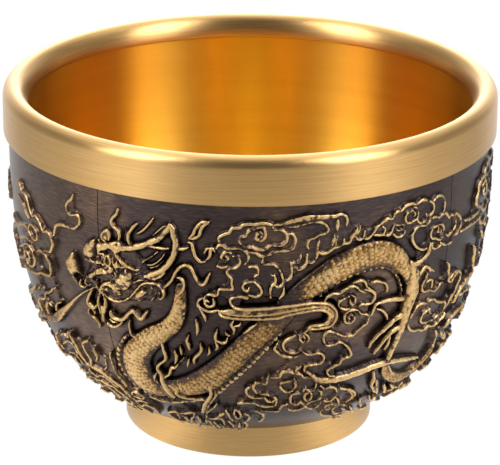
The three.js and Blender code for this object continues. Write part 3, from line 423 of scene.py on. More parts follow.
# Head, horns, whiskers and beard: half width, height and points
HEAD_LINES = [
    (0.24, 1.2, [(-18.7, 37), (-18.3, 36.3), (-17.5, 35.6), (-16.6, 35.1), (-15.5, 34.8)]),
    (0.3, 1.12, [(-21.3, 30.6), (-21, 31.3), (-20.4, 31.8), (-19.6, 31.75), (-18.8, 31.4), (-18.2, 31)]),
    (0.22, 1.12, [(-21, 36), (-20.5, 36.1), (-20.2, 35.6), (-20.3, 35), (-19.8, 34.5)]),
    (0.2, 0.95, [(-20.5, 34.1), (-19.9, 34.3), (-19.6, 34.8)]),
    (0.2, 1, [(-19.7, 35.9), (-19.35, 35.3), (-19.5, 34.6)]),
    (0.2, 1, [(-19, 35.7), (-18.85, 35), (-18.5, 34.3)]),
    (0.17, 0.95, [(-18.4, 35.5), (-18.1, 34.9)]),
    (0.17, 0.95, [(-21, 36), (-20.7, 35.6), (-20.8, 35.1)]),
    (0.17, 0.95, [(-19.4, 34), (-18.8, 33.8), (-18.4, 33.3)]),
    (0.17, 0.9, [(-22.9, 34.9), (-22.3, 34.5), (-21.6, 34.3)]),
    (0.15, 0.9, [(-21.9, 35.2), (-21.4, 34.8), (-20.8, 34.7)]),
    (0.2, 0.95, [(-16.2, 32.6), (-15.6, 33), (-15, 33.4), (-14.3, 33.5)]),
    (0.15, 0.85, [(-15.9, 33.9), (-15.2, 34.3), (-14.6, 34.3)]),
    (0.17, 0.9, [(-13.4, 30.6), (-12.9, 31.3), (-12.6, 32.1)]),
    (0.15, 0.85, [(-12.6, 30.8), (-12.2, 31.5), (-12.1, 32)]),
    (0.16, 0.85, [(-23.4, 31.8), (-22.9, 31.85), (-22.3, 31.7)]),
    (0.17, 0.9, [(-25, 31.1), (-25.2, 30.6), (-25, 30.2), (-24.4, 30.15), (-24.1, 30.4)]),
    (0.17, 0.9, [(-24, 31.4), (-24.05, 31), (-23.8, 30.7), (-23.3, 30.6)]),
    (0.13, 0.8, [(-26.6, 31.4), (-26.2, 30.9), (-25.9, 30.5), (-25.7, 30.2)]),
    (0.17, 0.95, [(-21.9, 32), (-22, 31.3), (-21.7, 30.7), (-21.2, 30.3), (-20.5, 30.1)]),
    (0.2, 1, [(-21, 30.4), (-20.8, 31.1), (-20.4, 31.7), (-19.9, 32.1), (-19.4, 32.1)]),
    (0.22, 0.95, [(-19.2, 33.3), (-18.7, 33), (-18.3, 32.6)]),
    (0.2, 1.05, [(-19.1, 32.8), (-18.8, 32.7)]),
    (0.18, 0.95, [(-19.6, 34.5), (-19.3, 33.9), (-19.4, 33.4)]),
    (0.18, 0.95, [(-18.6, 34.9), (-18.5, 34.3), (-18.2, 33.9)]),
    (0.17, 0.9, [(-17.9, 34.9), (-17.6, 34.7), (-17, 35)]),
    (0.2, 0.95, [(-20.35, 35), (-20.25, 35.6), (-19.8, 36), (-19.3, 35.7), (-19.2, 35.2)]),
    (0.18, 0.9, [(-21.2, 35), (-20.9, 34.7), (-20.4, 34.5), (-19.9, 34.9)]),
    (0.17, 0.85, [(-22.5, 34.4), (-22.1, 34.6), (-21.7, 34.9)]),
    (0.14, 0.75, [(-24.1, 34.6), (-23.6, 34.35), (-22.9, 34.25)]),
    (0.2, 1, [(-20.15, 37.95), (-20.65, 38.2), (-20.75, 38.8), (-20.35, 39.35), (-19.85, 39.6),
     (-19.5, 39.3), (-19.45, 38.7), (-19.6, 38.2)]),
    (0.2, 1.05, [(-20.25, 38.5), (-20.1, 38.75), (-19.95, 38.5)]),
    (0.2, 0.9, [(-21.35, 37.95), (-21.1, 37.7)]),
    (0.27, 1.05, [(-18, 38.6), (-17.85, 39.3), (-18.2, 40), (-18.85, 40.4), (-19.15, 41), (-18.8, 41.7),
     (-18.3, 42.2), (-18.1, 42.9)]),
    (0.12, 0.5, [(-17.1, 39.2), (-17, 40), (-17.2, 40.6)]),
    (0.3, 1.05, [(-16.35, 38.3), (-16.55, 39), (-16.5, 39.7), (-16.1, 40.4), (-15.7, 40.9), (-15.2, 41.4)]),
    (0.2, 0.9, [(-15.2, 40), (-14.4, 40.55), (-13.8, 41.2), (-13.2, 42), (-12.9, 42.5)]),
    (0.52, 1.12, [(-18.6, 37.6), (-17, 37.55), (-15.6, 38), (-14.2, 38.55), (-13.1, 39.15), (-12.2, 39.75),
     (-11.4, 40.55), (-10.8, 41.3), (-10.55, 41.9)]),
    (0.22, 0.95, [(-13.5, 38.5), (-12.2, 38.45), (-11.2, 38.45), (-10.6, 38.6)]),
    (0.13, 0.85, [(-12.9, 40.1), (-12.1, 40.9), (-11.4, 41.55), (-10.9, 41.8)]),
    (0.52, 1.12, [(-10.55, 41.9), (-10.2, 41.3), (-10, 40.3), (-9.75, 39.4), (-9.9, 38.2), (-10.3, 37.1),
     (-11, 36), (-12, 35.1), (-13.1, 34.5), (-14.1, 34.1)]),
    (0.3, 0.95, [(-14.1, 34.05), (-13, 33.95), (-12.1, 34.3), (-11.3, 35)]),
    (0.14, 0.9, [(-14, 34.3), (-13.3, 34.75), (-12.7, 35)]),
    (0.22, 1, [(-18.8, 36.7), (-18.2, 36.3), (-17.6, 35.75), (-16.9, 35.25), (-16.2, 34.95),
     (-15.5, 34.75), (-15, 34.9)]),
    (0.14, 0.75, [(-14.7, 35.4), (-14.3, 36.2), (-13.5, 36.8), (-12.9, 37.3), (-12.2, 37.9)]),
    (0.14, 0.75, [(-14, 35.7), (-13, 35.9), (-12.2, 36.5), (-11.6, 37.2), (-11.2, 37.9)]),
    (0.14, 0.7, [(-13.9, 36.4), (-13.1, 37), (-12.5, 37.6)]),
    (0.12, 0.7, [(-13.6, 35.3), (-12.5, 35.7), (-11.6, 36.5)]),
    (0.2, 1, [(-20.6, 30), (-19.8, 29.6), (-18.6, 29.5), (-17.6, 29.85), (-16.8, 30.4), (-16, 31.2),
     (-15.3, 32.1), (-14.7, 32.8), (-14, 33.15), (-13.2, 33.3), (-12.4, 33.2), (-11.8, 32.6),
     (-11.45, 31.9), (-11.8, 31.2), (-12.2, 31)]),
    (0.15, 0.7, [(-14.6, 32.7), (-13.6, 32.5), (-12.7, 32.5), (-12.1, 32.4), (-12.4, 31.9), (-12.9, 31.8)]),
    (0.15, 0.7, [(-16.1, 30.35), (-15.3, 30.3), (-14.7, 30.6), (-14, 31.1), (-13.4, 31.6), (-13.3, 32.1)]),
    (0.3, 1, [(-23, 30.1), (-23.5, 29.4), (-23.9, 28.7), (-24.1, 28.1), (-23.9, 27.6), (-23.4, 27.35),
     (-22.9, 27.5), (-22.5, 27.9)]),
    (0.34, 1, [(-23.7, 27.5), (-23.2, 27.4)]),
    (0.23, 0.97, [(-21.5, 30.1), (-21.9, 29.3), (-22.1, 28.4), (-22, 27.5), (-21.9, 26.8)]),
    (0.3, 1, [(-20.9, 30), (-20.8, 29.1), (-20.9, 28.2), (-21.3, 27.5), (-21.7, 26.9)]),
    (0.17, 0.9, [(-24.2, 26.9), (-24.35, 26.3), (-23.9, 25.9), (-23.3, 25.7), (-22.8, 25.3), (-22.6, 24.8),
     (-22.8, 24.2)]),
    (0.16, 0.85, [(-24.1, 26.9), (-23.6, 27.1), (-23.2, 26.8), (-23.2, 26.3)]),
    (0.15, 0.8, [(-21.9, 26.8), (-21.8, 26.1), (-21.6, 25.5)]),
    (0.36, 1.05, [(-20.1, 27.6), (-20.1, 27.1), (-19.6, 26.7), (-18.9, 26.6), (-18.2, 26.8), (-17.6, 27.3),
     (-17, 28), (-16.4, 28.45), (-15.9, 28.1), (-15.4, 27.5), (-15, 27.6), (-14.6, 28.2), (-14.2, 28.7)]),
    (0.29, 0.97, [(-21, 25.5), (-20.4, 25.15), (-19.7, 25.3), (-19, 25.7), (-18.4, 26.2)]),
    (0.17, 0.85, [(-20.6, 26.2), (-20, 25.9), (-19.3, 26)]),
    (0.17, 0.9, [(-17.1, 26.9), (-17.3, 26), (-17.3, 25), (-17, 24.3), (-16.4, 24.2)]),
    (0.15, 0.9, [(-22, 30.9), (-22.8, 30.5), (-23.8, 29.9), (-25, 29.1), (-26, 28.3)]),
]

# Clouds, flames and waves to the left of the head
LEFT_LINES = [
    (0.24, 0.95, [(-32.2, 24.2), (-31.8, 25.1), (-31.2, 25.7), (-30.6, 25.9)]),
    (0.3, 1, [(-35.3, 22.6), (-35.3, 23.5), (-34.8, 24.4), (-34, 24.8), (-33.3, 24.5)]),
    (0.25, 0.9, [(-34.4, 25), (-34.9, 25.4), (-34.4, 26.1), (-33.5, 26.5), (-32.6, 27), (-32, 27.6),
     (-31.3, 27.9)]),
    (0.4, 1, [(-37.6, 22.3), (-37.9, 23.2), (-37.4, 24.2), (-36.4, 24.6), (-35.4, 24.9)]),
    (0.35, 0.95, [(-38, 25.9), (-39.2, 25), (-40.6, 24.1), (-42.4, 23.4), (-44.4, 22.8)]),
    (0.22, 0.85, [(-36.3, 26.4), (-37.4, 25.6), (-38.8, 24.7)]),
    (0.3, 0.9, [(-38.4, 22.8), (-39.6, 22), (-41.2, 21.3), (-43.5, 20.6)]),
    (0.3, 0.85, [(-40, 19.6), (-41.8, 18.9), (-43.8, 18.2), (-46, 17.2)]),
    (0.22, 0.95, [(-35.3, 35.9), (-34.4, 35.3), (-34.4, 34.4), (-35.2, 34), (-36.4, 34.4), (-36.9, 35.1),
     (-36.4, 35.9), (-35.3, 35.9)]),
    (0.22, 0.95, [(-34, 37.4), (-34.7, 37.7), (-35.6, 37.4), (-36.3, 38.1), (-37, 39.3), (-37.9, 39.9),
     (-38.9, 39.9), (-39.6, 40.7), (-40.7, 41)]),
    (0.2, 0.9, [(-36.9, 36.6), (-37.8, 37.2), (-38.6, 38.2), (-39.7, 38.5), (-40.8, 38.9)]),
    (0.2, 0.9, [(-37.3, 35), (-38.6, 35), (-40, 34.6), (-41.7, 34.1), (-43.4, 34.2), (-45, 34.6)]),
    (0.2, 0.9, [(-36.2, 33.2), (-37.5, 33.4), (-38.8, 33.1), (-40.2, 32.6), (-41.8, 32.1)]),
    (0.25, 0.95, [(-31.5, 31.8), (-31.4, 30.6), (-32, 29.7), (-33.2, 29.4), (-34.6, 29.2), (-35.8, 28.7),
     (-37.4, 28.4), (-39.2, 28.3), (-41, 28.2)]),
    (0.24, 0.95, [(-31.5, 31.8), (-32.2, 32.6), (-33.4, 32.9), (-34.6, 32.6)]),
    (0.24, 0.95, [(-36.1, 31.9), (-35.9, 30.9), (-36.3, 30), (-37.2, 29.3), (-38.4, 29.2), (-39.4, 29.9),
     (-39.3, 30.9), (-38.3, 31.2), (-37.6, 30.6), (-38.1, 30.1)]),
    (0.22, 0.9, [(-36.1, 31.9), (-37.2, 32.5), (-38.6, 32.3), (-40, 31.5), (-41.6, 30.9)]),
    (0.24, 0.9, [(-40.3, 29.6), (-41.8, 29), (-43.6, 28.4), (-45.2, 27.9)]),
    (0.36, 1, [(-30.4, 21), (-30, 20), (-29.6, 19), (-29.5, 18), (-29.1, 17), (-28.5, 16.3)]),
    (0.38, 1, [(-26.5, 20.8), (-27.1, 20.6), (-27.6, 20), (-27.5, 19), (-27.1, 18), (-27.3, 17),
     (-27.5, 16.2)]),
    (0.25, 0.95, [(-34.2, 17.8), (-33, 18.6), (-31.7, 19.2), (-30.7, 19.1), (-30.2, 18.4), (-30.3, 17.6)]),
    (0.24, 0.9, [(-33.8, 16.4), (-32.6, 16.8), (-31.4, 16.9), (-30.6, 16.3), (-30.4, 15.4)]),
    (0.24, 0.9, [(-35.5, 15.3), (-34, 15.8), (-32.6, 15.6), (-31.8, 14.9)]),
    (0.42, 1.05, [(-28.6, 16.2), (-27.2, 16.1), (-25.8, 15.7), (-24.6, 15.2), (-23.4, 14.5), (-22.4, 13.6),
     (-21.8, 12.6), (-21.7, 11.6)]),
    (0.22, 0.95, [(-29.2, 14.9), (-28.6, 14.3), (-27.9, 13.9), (-26.9, 14.4), (-25.9, 14.6), (-24.8, 14.2),
     (-24, 13.6), (-23.3, 13)]),
    (0.25, 0.95, [(-28.6, 13), (-27.5, 13.2), (-26.4, 12.9), (-25.5, 12.8), (-24.7, 12.9), (-24.1, 12.3),
     (-23.4, 11.6), (-22.8, 10.9), (-22.4, 10.1), (-22.7, 9.4), (-23.5, 9.3), (-23.9, 9.9), (-23.5, 10.3)]),
    (0.22, 0.9, [(-28, 11.8), (-27, 12.2), (-26.1, 11.9), (-25.5, 11.3), (-25, 10.6), (-25.3, 10),
     (-26.1, 10)]),
    (0.22, 0.9, [(-31.4, 12.6), (-30, 12.9), (-28.8, 12.6), (-28.4, 11.8), (-28.9, 11.1)]),
    (0.22, 0.9, [(-33.5, 13.2), (-32.2, 13.8), (-31, 13.6), (-30, 14)]),
    (0.2, 0.9, [(-20.9, 12.2), (-20.6, 12.9), (-19.8, 13.2), (-18.9, 12.9), (-18.5, 12.3), (-19, 11.9),
     (-19.9, 11.9), (-20.7, 12)]),
    (0.2, 0.9, [(-21.4, 11.3), (-20.7, 10.8), (-19.9, 11.2), (-19.1, 11.2), (-18.5, 10.7)]),
    (0.2, 0.9, [(-21, 10), (-20.2, 9.6), (-19.6, 10.1), (-18.7, 10.2), (-17.9, 9.7), (-17.4, 8.9),
     (-17.5, 8.1), (-18, 7.4)]),
    (0.2, 0.85, [(-21.9, 8.9), (-21, 8.6), (-20.2, 8.3), (-19.7, 7.6), (-20.1, 6.9)]),
    (0.2, 0.85, [(-24.5, 8.9), (-23.5, 8.5), (-22.6, 8.2), (-22, 7.5)]),
    (0.2, 0.85, [(-22, 20.2), (-22.3, 19.2), (-22.2, 18), (-22.2, 16.9), (-21.9, 15.8), (-21.4, 14.8),
     (-21.2, 13.8)]),
    (0.14, 0.7, [(-21.6, 18.4), (-21.7, 17.2), (-21.3, 16)]),
    (0.25, 0.95, [(-33.5, 19.6), (-32.4, 20.2), (-31.4, 20), (-30.9, 21)]),
    (0.25, 0.95, [(-35.4, 16.4), (-36.3, 17.4), (-36, 18.6), (-35, 19.4)]),
    (0.25, 0.95, [(-36.6, 14.6), (-37.6, 15.4), (-38, 16.6)]),
    (0.25, 0.95, [(-31.2, 11.6), (-32.4, 11.9), (-33.4, 11.3)]),
    (0.25, 0.95, [(-28.6, 9.8), (-29.8, 10.2), (-31, 9.8)]),
    (0.25, 0.9, [(-26.4, 8.3), (-27.6, 8.6), (-28.6, 8.1)]),
    (0.25, 0.9, [(-23.8, 7.2), (-24.8, 7.6), (-26, 7.2)]),
    (0.22, 0.9, [(-25.8, 17.6), (-25.2, 18.6), (-25.5, 19.8)]),
    (0.22, 0.9, [(-24.6, 16.4), (-23.8, 17.2), (-23.6, 18.4)]),
]

# The scaled body in three runs: neck, back and tail
BODY_RUNS = [
    [(-9.2, 32.9, 0.9, 0.8), (-9.3, 31.2, 1, 0.95), (-9.6, 29.4, 1.15, 1.1), (-10.4, 27.6, 1.35, 1.1),
     (-11.9, 26, 1.5, 1.1), (-13.9, 24.5, 1.8, 1.1), (-15.9, 22.6, 2, 1.12), (-17.3, 20.4, 2.3, 1.15),
     (-17.5, 18, 2.35, 1.15), (-16.7, 16, 2.2, 1.1), (-14.9, 15, 1.7, 1), (-13.4, 15.2, 1.4, 0.85)],
    [(-12.2, 16, 1.3, 0.95), (-10.4, 16.2, 1.7, 1.05), (-8.3, 16.95, 2, 1.1), (-6.2, 18.2, 2.2, 1.1),
     (-4.1, 20.2, 2.05, 1.1), (-1.9, 22.6, 1.95, 1.1), (0.1, 24.9, 1.9, 1.05), (2.1, 27, 1.85, 0.95),
     (4, 28.8, 1.9, 0.75), (5.6, 30.7, 1.8, 0.6), (7.4, 32.6, 1.75, 0.9), (9.6, 34.2, 1.8, 1.05),
     (12, 35.6, 1.9, 1.1), (14.9, 36.6, 1.95, 1.1), (17.8, 36.9, 1.9, 1.1), (20.3, 36.1, 1.7, 1.1),
     (22, 34.5, 1.45, 1.1), (22.9, 33.2, 1.1, 1.05), (23.4, 31.8, 0.8, 0.95)],
    [(22.3, 18.4, 0.55, 0.8), (23.4, 16.4, 0.8, 0.95), (25.8, 14.7, 1, 1), (28.5, 13.8, 1, 0.95),
     (31.2, 14.3, 0.85, 0.9), (33.3, 16, 0.7, 0.85), (34.4, 18, 0.6, 0.8)],
]

# The ribbed belly beside each run, or beside the bends of the back
BELLY_RUNS = [
    [(-17.6, 24.3, 0.3, 0.7), (-18.7, 23.4, 0.4, 0.8), (-19.7, 22, 0.45, 0.8), (-20.4, 20.4, 0.5, 0.85),
     (-20.6, 18.7, 0.5, 0.85), (-20.2, 16.9, 0.5, 0.85), (-19.4, 15.5, 0.45, 0.85),
     (-18.1, 14.4, 0.45, 0.85), (-16.6, 13.5, 0.45, 0.85), (-15, 13, 0.4, 0.85), (-13.2, 12.9, 0.35, 0.8),
     (-11.4, 13, 0.3, 0.75), (-9.3, 13.4, 0.2, 0.65)],
    [(-5.2, 15.6, 0.35, 0.9), (-4.4, 16.3, 0.45, 0.95), (-3.3, 17.5, 0.45, 0.95), (-2.2, 18.7, 0.45, 0.95),
     (-1.1, 19.9, 0.43, 0.95), (-0.1, 21.1, 0.43, 0.95), (0.9, 22.3, 0.43, 0.95), (1.8, 23.4, 0.4, 0.93),
     (2.7, 24.5, 0.4, 0.9), (3.6, 25.6, 0.35, 0.85), (4.5, 26.8, 0.3, 0.7)],
    [(9.6, 31.9, 0.25, 0.6), (11.8, 33.6, 0.35, 0.8), (13.8, 34.4, 0.35, 0.85), (16, 34.8, 0.35, 0.85),
     (18.2, 34.9, 0.35, 0.8), (20, 34.1, 0.3, 0.75), (21.4, 32.6, 0.3, 0.7), (22.2, 30.8, 0.25, 0.7),
     (22.5, 28.8, 0.2, 0.6)],
]

# The breath that streams from the mouth
BREATH = [
    [(-25, 29.1, 0.2, 0.95), (-26.6, 27.8, 0.28, 1), (-28.4, 26.2, 0.42, 1.05), (-30.2, 24.8, 0.55, 1.05),
     (-31.8, 23.6, 0.75, 1), (-33.6, 22.3, 0.75, 1), (-35.6, 21.7, 0.7, 1), (-37.6, 21.6, 0.7, 1),
     (-39.6, 20.9, 0.6, 1), (-42, 19.6, 0.55, 0.95), (-44.5, 18.3, 0.4, 0.9), (-47, 17.2, 0.3, 0.8)],
]

# Swellings of the head: height, how far their edge is rounded, and their outline
HEAD_DOMES = [
    (1.15, 0.85, [(-27.7, 33.5), (-27, 34.2), (-26.4, 34.95), (-25.9, 34.9), (-25.5, 34.2), (-25.2, 33.5),
     (-25, 32.6), (-24.9, 31.7), (-25.4, 32), (-26.1, 31.6), (-26.6, 31.45), (-27.3, 31.95),
     (-27.6, 32.7)]),
    (1.2, 0.8, [(-24.2, 35.3), (-24.1, 36.1), (-23.5, 37), (-22.7, 37.65), (-21.95, 37.9), (-21.8, 37.2),
     (-21.9, 36.3), (-21.9, 35.4), (-22.5, 35), (-23.3, 34.85), (-23.9, 34.95)]),
    (1.15, 0.5, [(-21.65, 36.3), (-21.6, 37.3), (-20.9, 37.7), (-19.8, 37.95), (-18.6, 38.4), (-17.6, 38.3),
     (-17.3, 37.6), (-17.9, 36.7), (-18.7, 36.4), (-19.4, 36.8), (-20.3, 36.5), (-20.9, 36.3),
     (-21.1, 35.4), (-21.6, 35.3)]),
    (1.1, 0.45, [(-24, 32.1), (-23.2, 32.7), (-22.4, 33.2), (-21.6, 33.9), (-20.8, 34.2), (-20.1, 34),
     (-19.6, 33.5), (-20.2, 33.1), (-21, 32.9), (-21.8, 32.5), (-22.6, 31.9), (-23.3, 31.75)]),
    (1.15, 0.6, [(-18.1, 33.2), (-18, 34), (-17.4, 34.55), (-16.7, 34.7), (-16.1, 34.3), (-15.9, 33.6),
     (-16.3, 33), (-17.2, 32.9)]),
    (1.05, 0.4, [(-19.6, 31.9), (-18.9, 32.45), (-18, 32.4), (-17.2, 32.7), (-16.6, 32.7), (-16.3, 32.2),
     (-16.7, 31.7), (-17.5, 31.35), (-18.5, 31.3), (-19.3, 31.5)]),
    (1, 0.3, [(-21, 30.7), (-20.4, 31.3), (-19.8, 31.4), (-19.2, 31.1), (-18.4, 31.05), (-17.8, 30.7),
     (-18.4, 30.4), (-19.4, 30.65), (-20.2, 30.5)]),
    (1, 0.4, [(-15.9, 30.7), (-15.7, 31.3), (-15.1, 31.9), (-14.4, 32.1), (-13.9, 31.8), (-14.2, 31.2),
     (-14.8, 30.8), (-15.4, 30.6)]),
    (0.85, 0.3, [(-20.8, 38.4), (-20.6, 39.1), (-20, 39.6), (-19.5, 39.3), (-19.3, 38.7), (-19.5, 38.2),
     (-20.2, 38)]),
    (1, 0.35, [(-21.9, 28.2), (-21, 28.3), (-20.7, 27.6), (-21.2, 26.6), (-21.3, 25.8), (-21.7, 25.2),
     (-22.1, 25.8), (-22, 26.8)]),
    (0.97, 0.3, [(-24.2, 28), (-23.9, 27.4), (-23.3, 27.05), (-22.7, 27.25), (-22.4, 27.8), (-23, 27.8),
     (-23.6, 28.2)]),
    (1.15, 0.5, [(-18.7, 33.1), (-17.8, 33.4), (-16.5, 33.6), (-16, 32.8), (-16.6, 32.1), (-17.6, 31.9),
     (-18.6, 32.4)]),
    (1.12, 0.3, [(-20, 33.9), (-19.4, 34.6), (-18.8, 34.3), (-18.9, 33.7), (-19.5, 33.4)]),
    (1.12, 0.3, [(-18.9, 34.8), (-18.5, 35.4), (-17.8, 35.1), (-17.9, 34.6), (-18.5, 34.4)]),
    (1.1, 0.3, [(-22.2, 34.6), (-21.5, 35.1), (-20.7, 35.2), (-20.8, 34.6), (-21.6, 34.3)]),
]

# The relief is carved in a flat sheet that is wrapped round half the cup, and again round the other half.
# Across it runs a, the way round from the front in millimetres at ARC_RADIUS, and up it runs t, the way up
# the casting's face from the foot.
ARC_RADIUS = 34.0
SHEET_HALF = math.pi * ARC_RADIUS / 2
CELL = 0.075
FACE_STEPS = 2000
MEAN_RELIEF = 0.9


def superellipse_depth():
    """Depth of the whole superellipse below the band, so that it passes through the foot's top edge."""
    down = 1 - (FOOT_RADIUS / SHELL_RADIUS) ** FULLNESS_OUT
    return (BAND_BOTTOM - FOOT_HEIGHT) / down ** (1 / FULLNESS_DOWN)


BOWL_DEPTH = superellipse_depth()


def wall_points(turn, depth=0.0):
    """Radius and height of the wall at these turns, from 0 at the band to a quarter circle at the pole."""
    out = np.cos(turn) ** (2 / FULLNESS_OUT)
    down = np.sin(turn) ** (2 / FULLNESS_DOWN)
    slope_out = FULLNESS_OUT * out ** (FULLNESS_OUT - 1) / SHELL_RADIUS
    slope_down = FULLNESS_DOWN * down ** (FULLNESS_DOWN - 1) / BOWL_DEPTH
    length = np.hypot(slope_out, slope_down)
    radius = SHELL_RADIUS * out - depth * slope_out / length
    height = BAND_BOTTOM - BOWL_DEPTH * down + depth * slope_down / length
    return radius, height


# The casting's face from the foot up, as tables over the way along it
last_turn = np.arcsin(((BAND_BOTTOM - FOOT_HEIGHT) / BOWL_DEPTH) ** (FULLNESS_DOWN / 2))
face_turns = np.linspace(last_turn, 0, FACE_STEPS)
face_radius, face_height = wall_points(face_turns)
inner_radius, inner_height = wall_points(face_turns, 1.0)
face_way = np.concatenate([[0], np.cumsum(np.hypot(np.diff(face_radius), np.diff(face_height)))])
FACE_LENGTH = float(face_way[-1])


def on_cup(a, t, raised):
    """Points in metres of the face at (a, t), raised square to it by so many millimetres."""
    radius = np.interp(t, face_way, face_radius)
    height = np.interp(t, face_way, face_height)
    out = radius - np.interp(t, face_way, inner_radius)
    up = height - np.interp(t, face_way, inner_height)
    radius = radius + raised * out
    angle = a / ARC_RADIUS
    return np.stack([radius * np.sin(angle), -radius * np.cos(angle), height + raised * up], -1) * MM


columns = int(2 * SHEET_HALF / CELL)
rows = int(FACE_LENGTH / CELL) + 1
A = (np.arange(columns) + 0.5) * 2 * SHEET_HALF / columns - SHEET_HALF
T = np.linspace(0, FACE_LENGTH, rows)
# True width of one millimetre of a at each height, over the middle of the relief, then the least of it and
# the usual one among the strokes
NARROWING = (np.interp(T, face_way, face_radius) + MEAN_RELIEF) / ARC_RADIUS
LEAST_NARROWING = 0.55
USUAL_NARROWING = 0.96
FAR = 9.0
TINY = 1e-12
PATCH_MARGIN = 0.2
# How full a line, a roll and a dome are: the smaller the power, the steeper their sides
BEAD_CROWN = 0.55
ROLL_CROWN = 0.3
DOME_CROWN = 0.4
TAPER_LENGTH = 0.8


def smooth_track(points, steps=7):
    """A curve through the points, as a closer row of points."""
    points = np.asarray(points, float)
    if len(points) == 2:
        return points
    padded = np.vstack([2 * points[0] - points[1], points, 2 * points[-1] - points[-2]])
    u = np.arange(steps)[:, None] / steps
    pieces = []
    for i in range(1, len(padded) - 2):
        before, here, there, after = padded[i - 1 : i + 3]
        line = there - before
        bend = 2 * before - 5 * here + 4 * there - after
        turn = 3 * here - before - 3 * there + after
        pieces.append(0.5 * (2 * here + line * u + bend * u**2 + turn * u**3))
    return np.vstack([*pieces, points[-1:]])


def window(low_a, high_a, low_t, high_t):
    """Slices of the sheet that hold this patch."""
    first_column = max(0, int((low_a + SHEET_HALF) / (2 * SHEET_HALF) * columns))
    last_column = min(columns, int((high_a + SHEET_HALF) / (2 * SHEET_HALF) * columns) + 1)
    first_row = max(0, int(low_t / FACE_LENGTH * (rows - 1)))
    last_row = min(rows, int(high_t / FACE_LENGTH * (rows - 1)) + 2)
    return slice(first_row, last_row), slice(first_column, last_column)


def near_segment(start, end, reach):
    """The patch round a straight piece of a track, with each cell's distance, share along and side."""
    margin = reach / LEAST_NARROWING
    patch = window(
        min(start[0], end[0]) - margin,
        max(start[0], end[0]) + margin,
        min(start[1], end[1]) - reach,
        max(start[1], end[1]) + reach,
    )
    narrow = NARROWING[patch[0]][:, None]
    x = (A[patch[1]][None, :] - start[0]) * narrow
    y = T[patch[0]][:, None] - start[1]
    across = (end[0] - start[0]) * narrow
    up = end[1] - start[1]
    share = np.clip((x * across + y * up) / (across**2 + up**2 + TINY), 0, 1)
    distance = np.hypot(x - share * across, y - share * up)
    return patch, distance, share, np.sign(across * y - up * x)


def lengths_along(track):
    """How far along the track each of its points is."""
    across = np.diff(track[:, 0]) * USUAL_NARROWING
    return np.concatenate([[0], np.cumsum(np.hypot(across, np.diff(track[:, 1])))])


def raise_bead(sheet, points, half_width, height, taper=0.6):
    """A rounded line that narrows towards its two ends."""
    track = smooth_track(points)
    along = lengths_along(track)
    to_end = np.minimum(along, along[-1] - along)
    half = half_width * (taper + (1 - taper) * np.clip(to_end / TAPER_LENGTH, 0, 1))
    for i in range(len(track) - 1):
        patch, distance, share, _ = near_segment(track[i], track[i + 1], max(half[i], half[i + 1]))
        u = np.clip(distance / (half[i] + (half[i + 1] - half[i]) * share), 0, 1)
        np.maximum(sheet[patch], height * (1 - u**2) ** BEAD_CROWN, out=sheet[patch])


def raise_roll(sheet, stations, crown=ROLL_CROWN, maps=None):
    """A long rounded form. The three maps take the way along it, the way across it and its half width."""
    track = smooth_track(stations, 9)
    along = lengths_along(track)
    nearest = np.full(sheet.shape, FAR, np.float32)
    for i in range(len(track) - 1):
        start, end = track[i], track[i + 1]
        patch, distance, share, side = near_segment(start[:2], end[:2], max(start[2], end[2]))
        half = start[2] + (end[2] - start[2]) * share
        u = distance / half
        closer = (u < nearest[patch]) & (u < 1)
        nearest[patch][closer] = u[closer]
        height = start[3] + (end[3] - start[3]) * share
        raised = height * np.clip(1 - u**2, 0, 1) ** crown
        sheet[patch][closer] = np.maximum(sheet[patch], raised)[closer]
        if maps:
            maps[0][patch][closer] = (along[i] + (along[i + 1] - along[i]) * share)[closer]
            maps[1][patch][closer] = (side * distance)[closer]
            maps[2][patch][closer] = half[closer]


def raise_dome(sheet, outline, height, rounding):
    """A closed outline filled with a pillow that is rounded over so many millimetres."""
    closed = smooth_track(list(outline) + [outline[0]], 4)
    low, high = closed.min(0), closed.max(0)
    low, high = low - PATCH_MARGIN, high + PATCH_MARGIN
    patch = window(low[0], high[0], low[1], high[1])
    narrow = NARROWING[patch[0]][:, None]
    x = A[patch[1]][None, :] + 0 * narrow
    y = T[patch[0]][:, None] + 0 * x
    inside = np.zeros(x.shape, bool)
    to_edge = np.full(x.shape, FAR)
    for start, end in zip(closed[:-1], closed[1:]):
        up = end[1] - start[1]
        if up:
            crossing = (end[0] - start[0]) * (y - start[1]) / up + start[0]
            inside ^= ((start[1] > y) != (end[1] > y)) & (x < crossing)
        across = (end[0] - start[0]) * narrow
        from_start = (x - start[0]) * narrow
        share = (from_start * across + (y - start[1]) * up) / (across**2 + up**2 + TINY)
        share = np.clip(share, 0, 1)
        distance = np.hypot(from_start - share * across, y - start[1] - share * up)
        to_edge = np.minimum(to_edge, distance)
    u = np.clip(to_edge / rounding, 0, 1)
    raised = np.where(inside, height * (1 - (1 - u) ** 2) ** DOME_CROWN, 0)
    np.maximum(sheet[patch], raised, out=sheet[patch])


def blurred(sheet, millimetres):
    """The sheet blurred by a bell curve of this spread. It goes on past its left edge at its right one."""
    sigma = millimetres / CELL
    reach = int(math.ceil(2.5 * sigma))
    weights = np.exp(-0.5 * (np.arange(-reach, reach + 1) / sigma) ** 2)
    weights = (weights / weights.sum()).astype(np.float32)
    tall = np.pad(sheet, ((reach, reach), (0, 0)), mode="edge")
    tall = sum(w * tall[i : i + sheet.shape[0]] for i, w in enumerate(weights))
    wide = np.pad(tall, ((0, 0), (reach, reach)), mode="wrap")
    return sum(w * wide[:, i : i + sheet.shape[1]] for i, w in enumerate(weights))


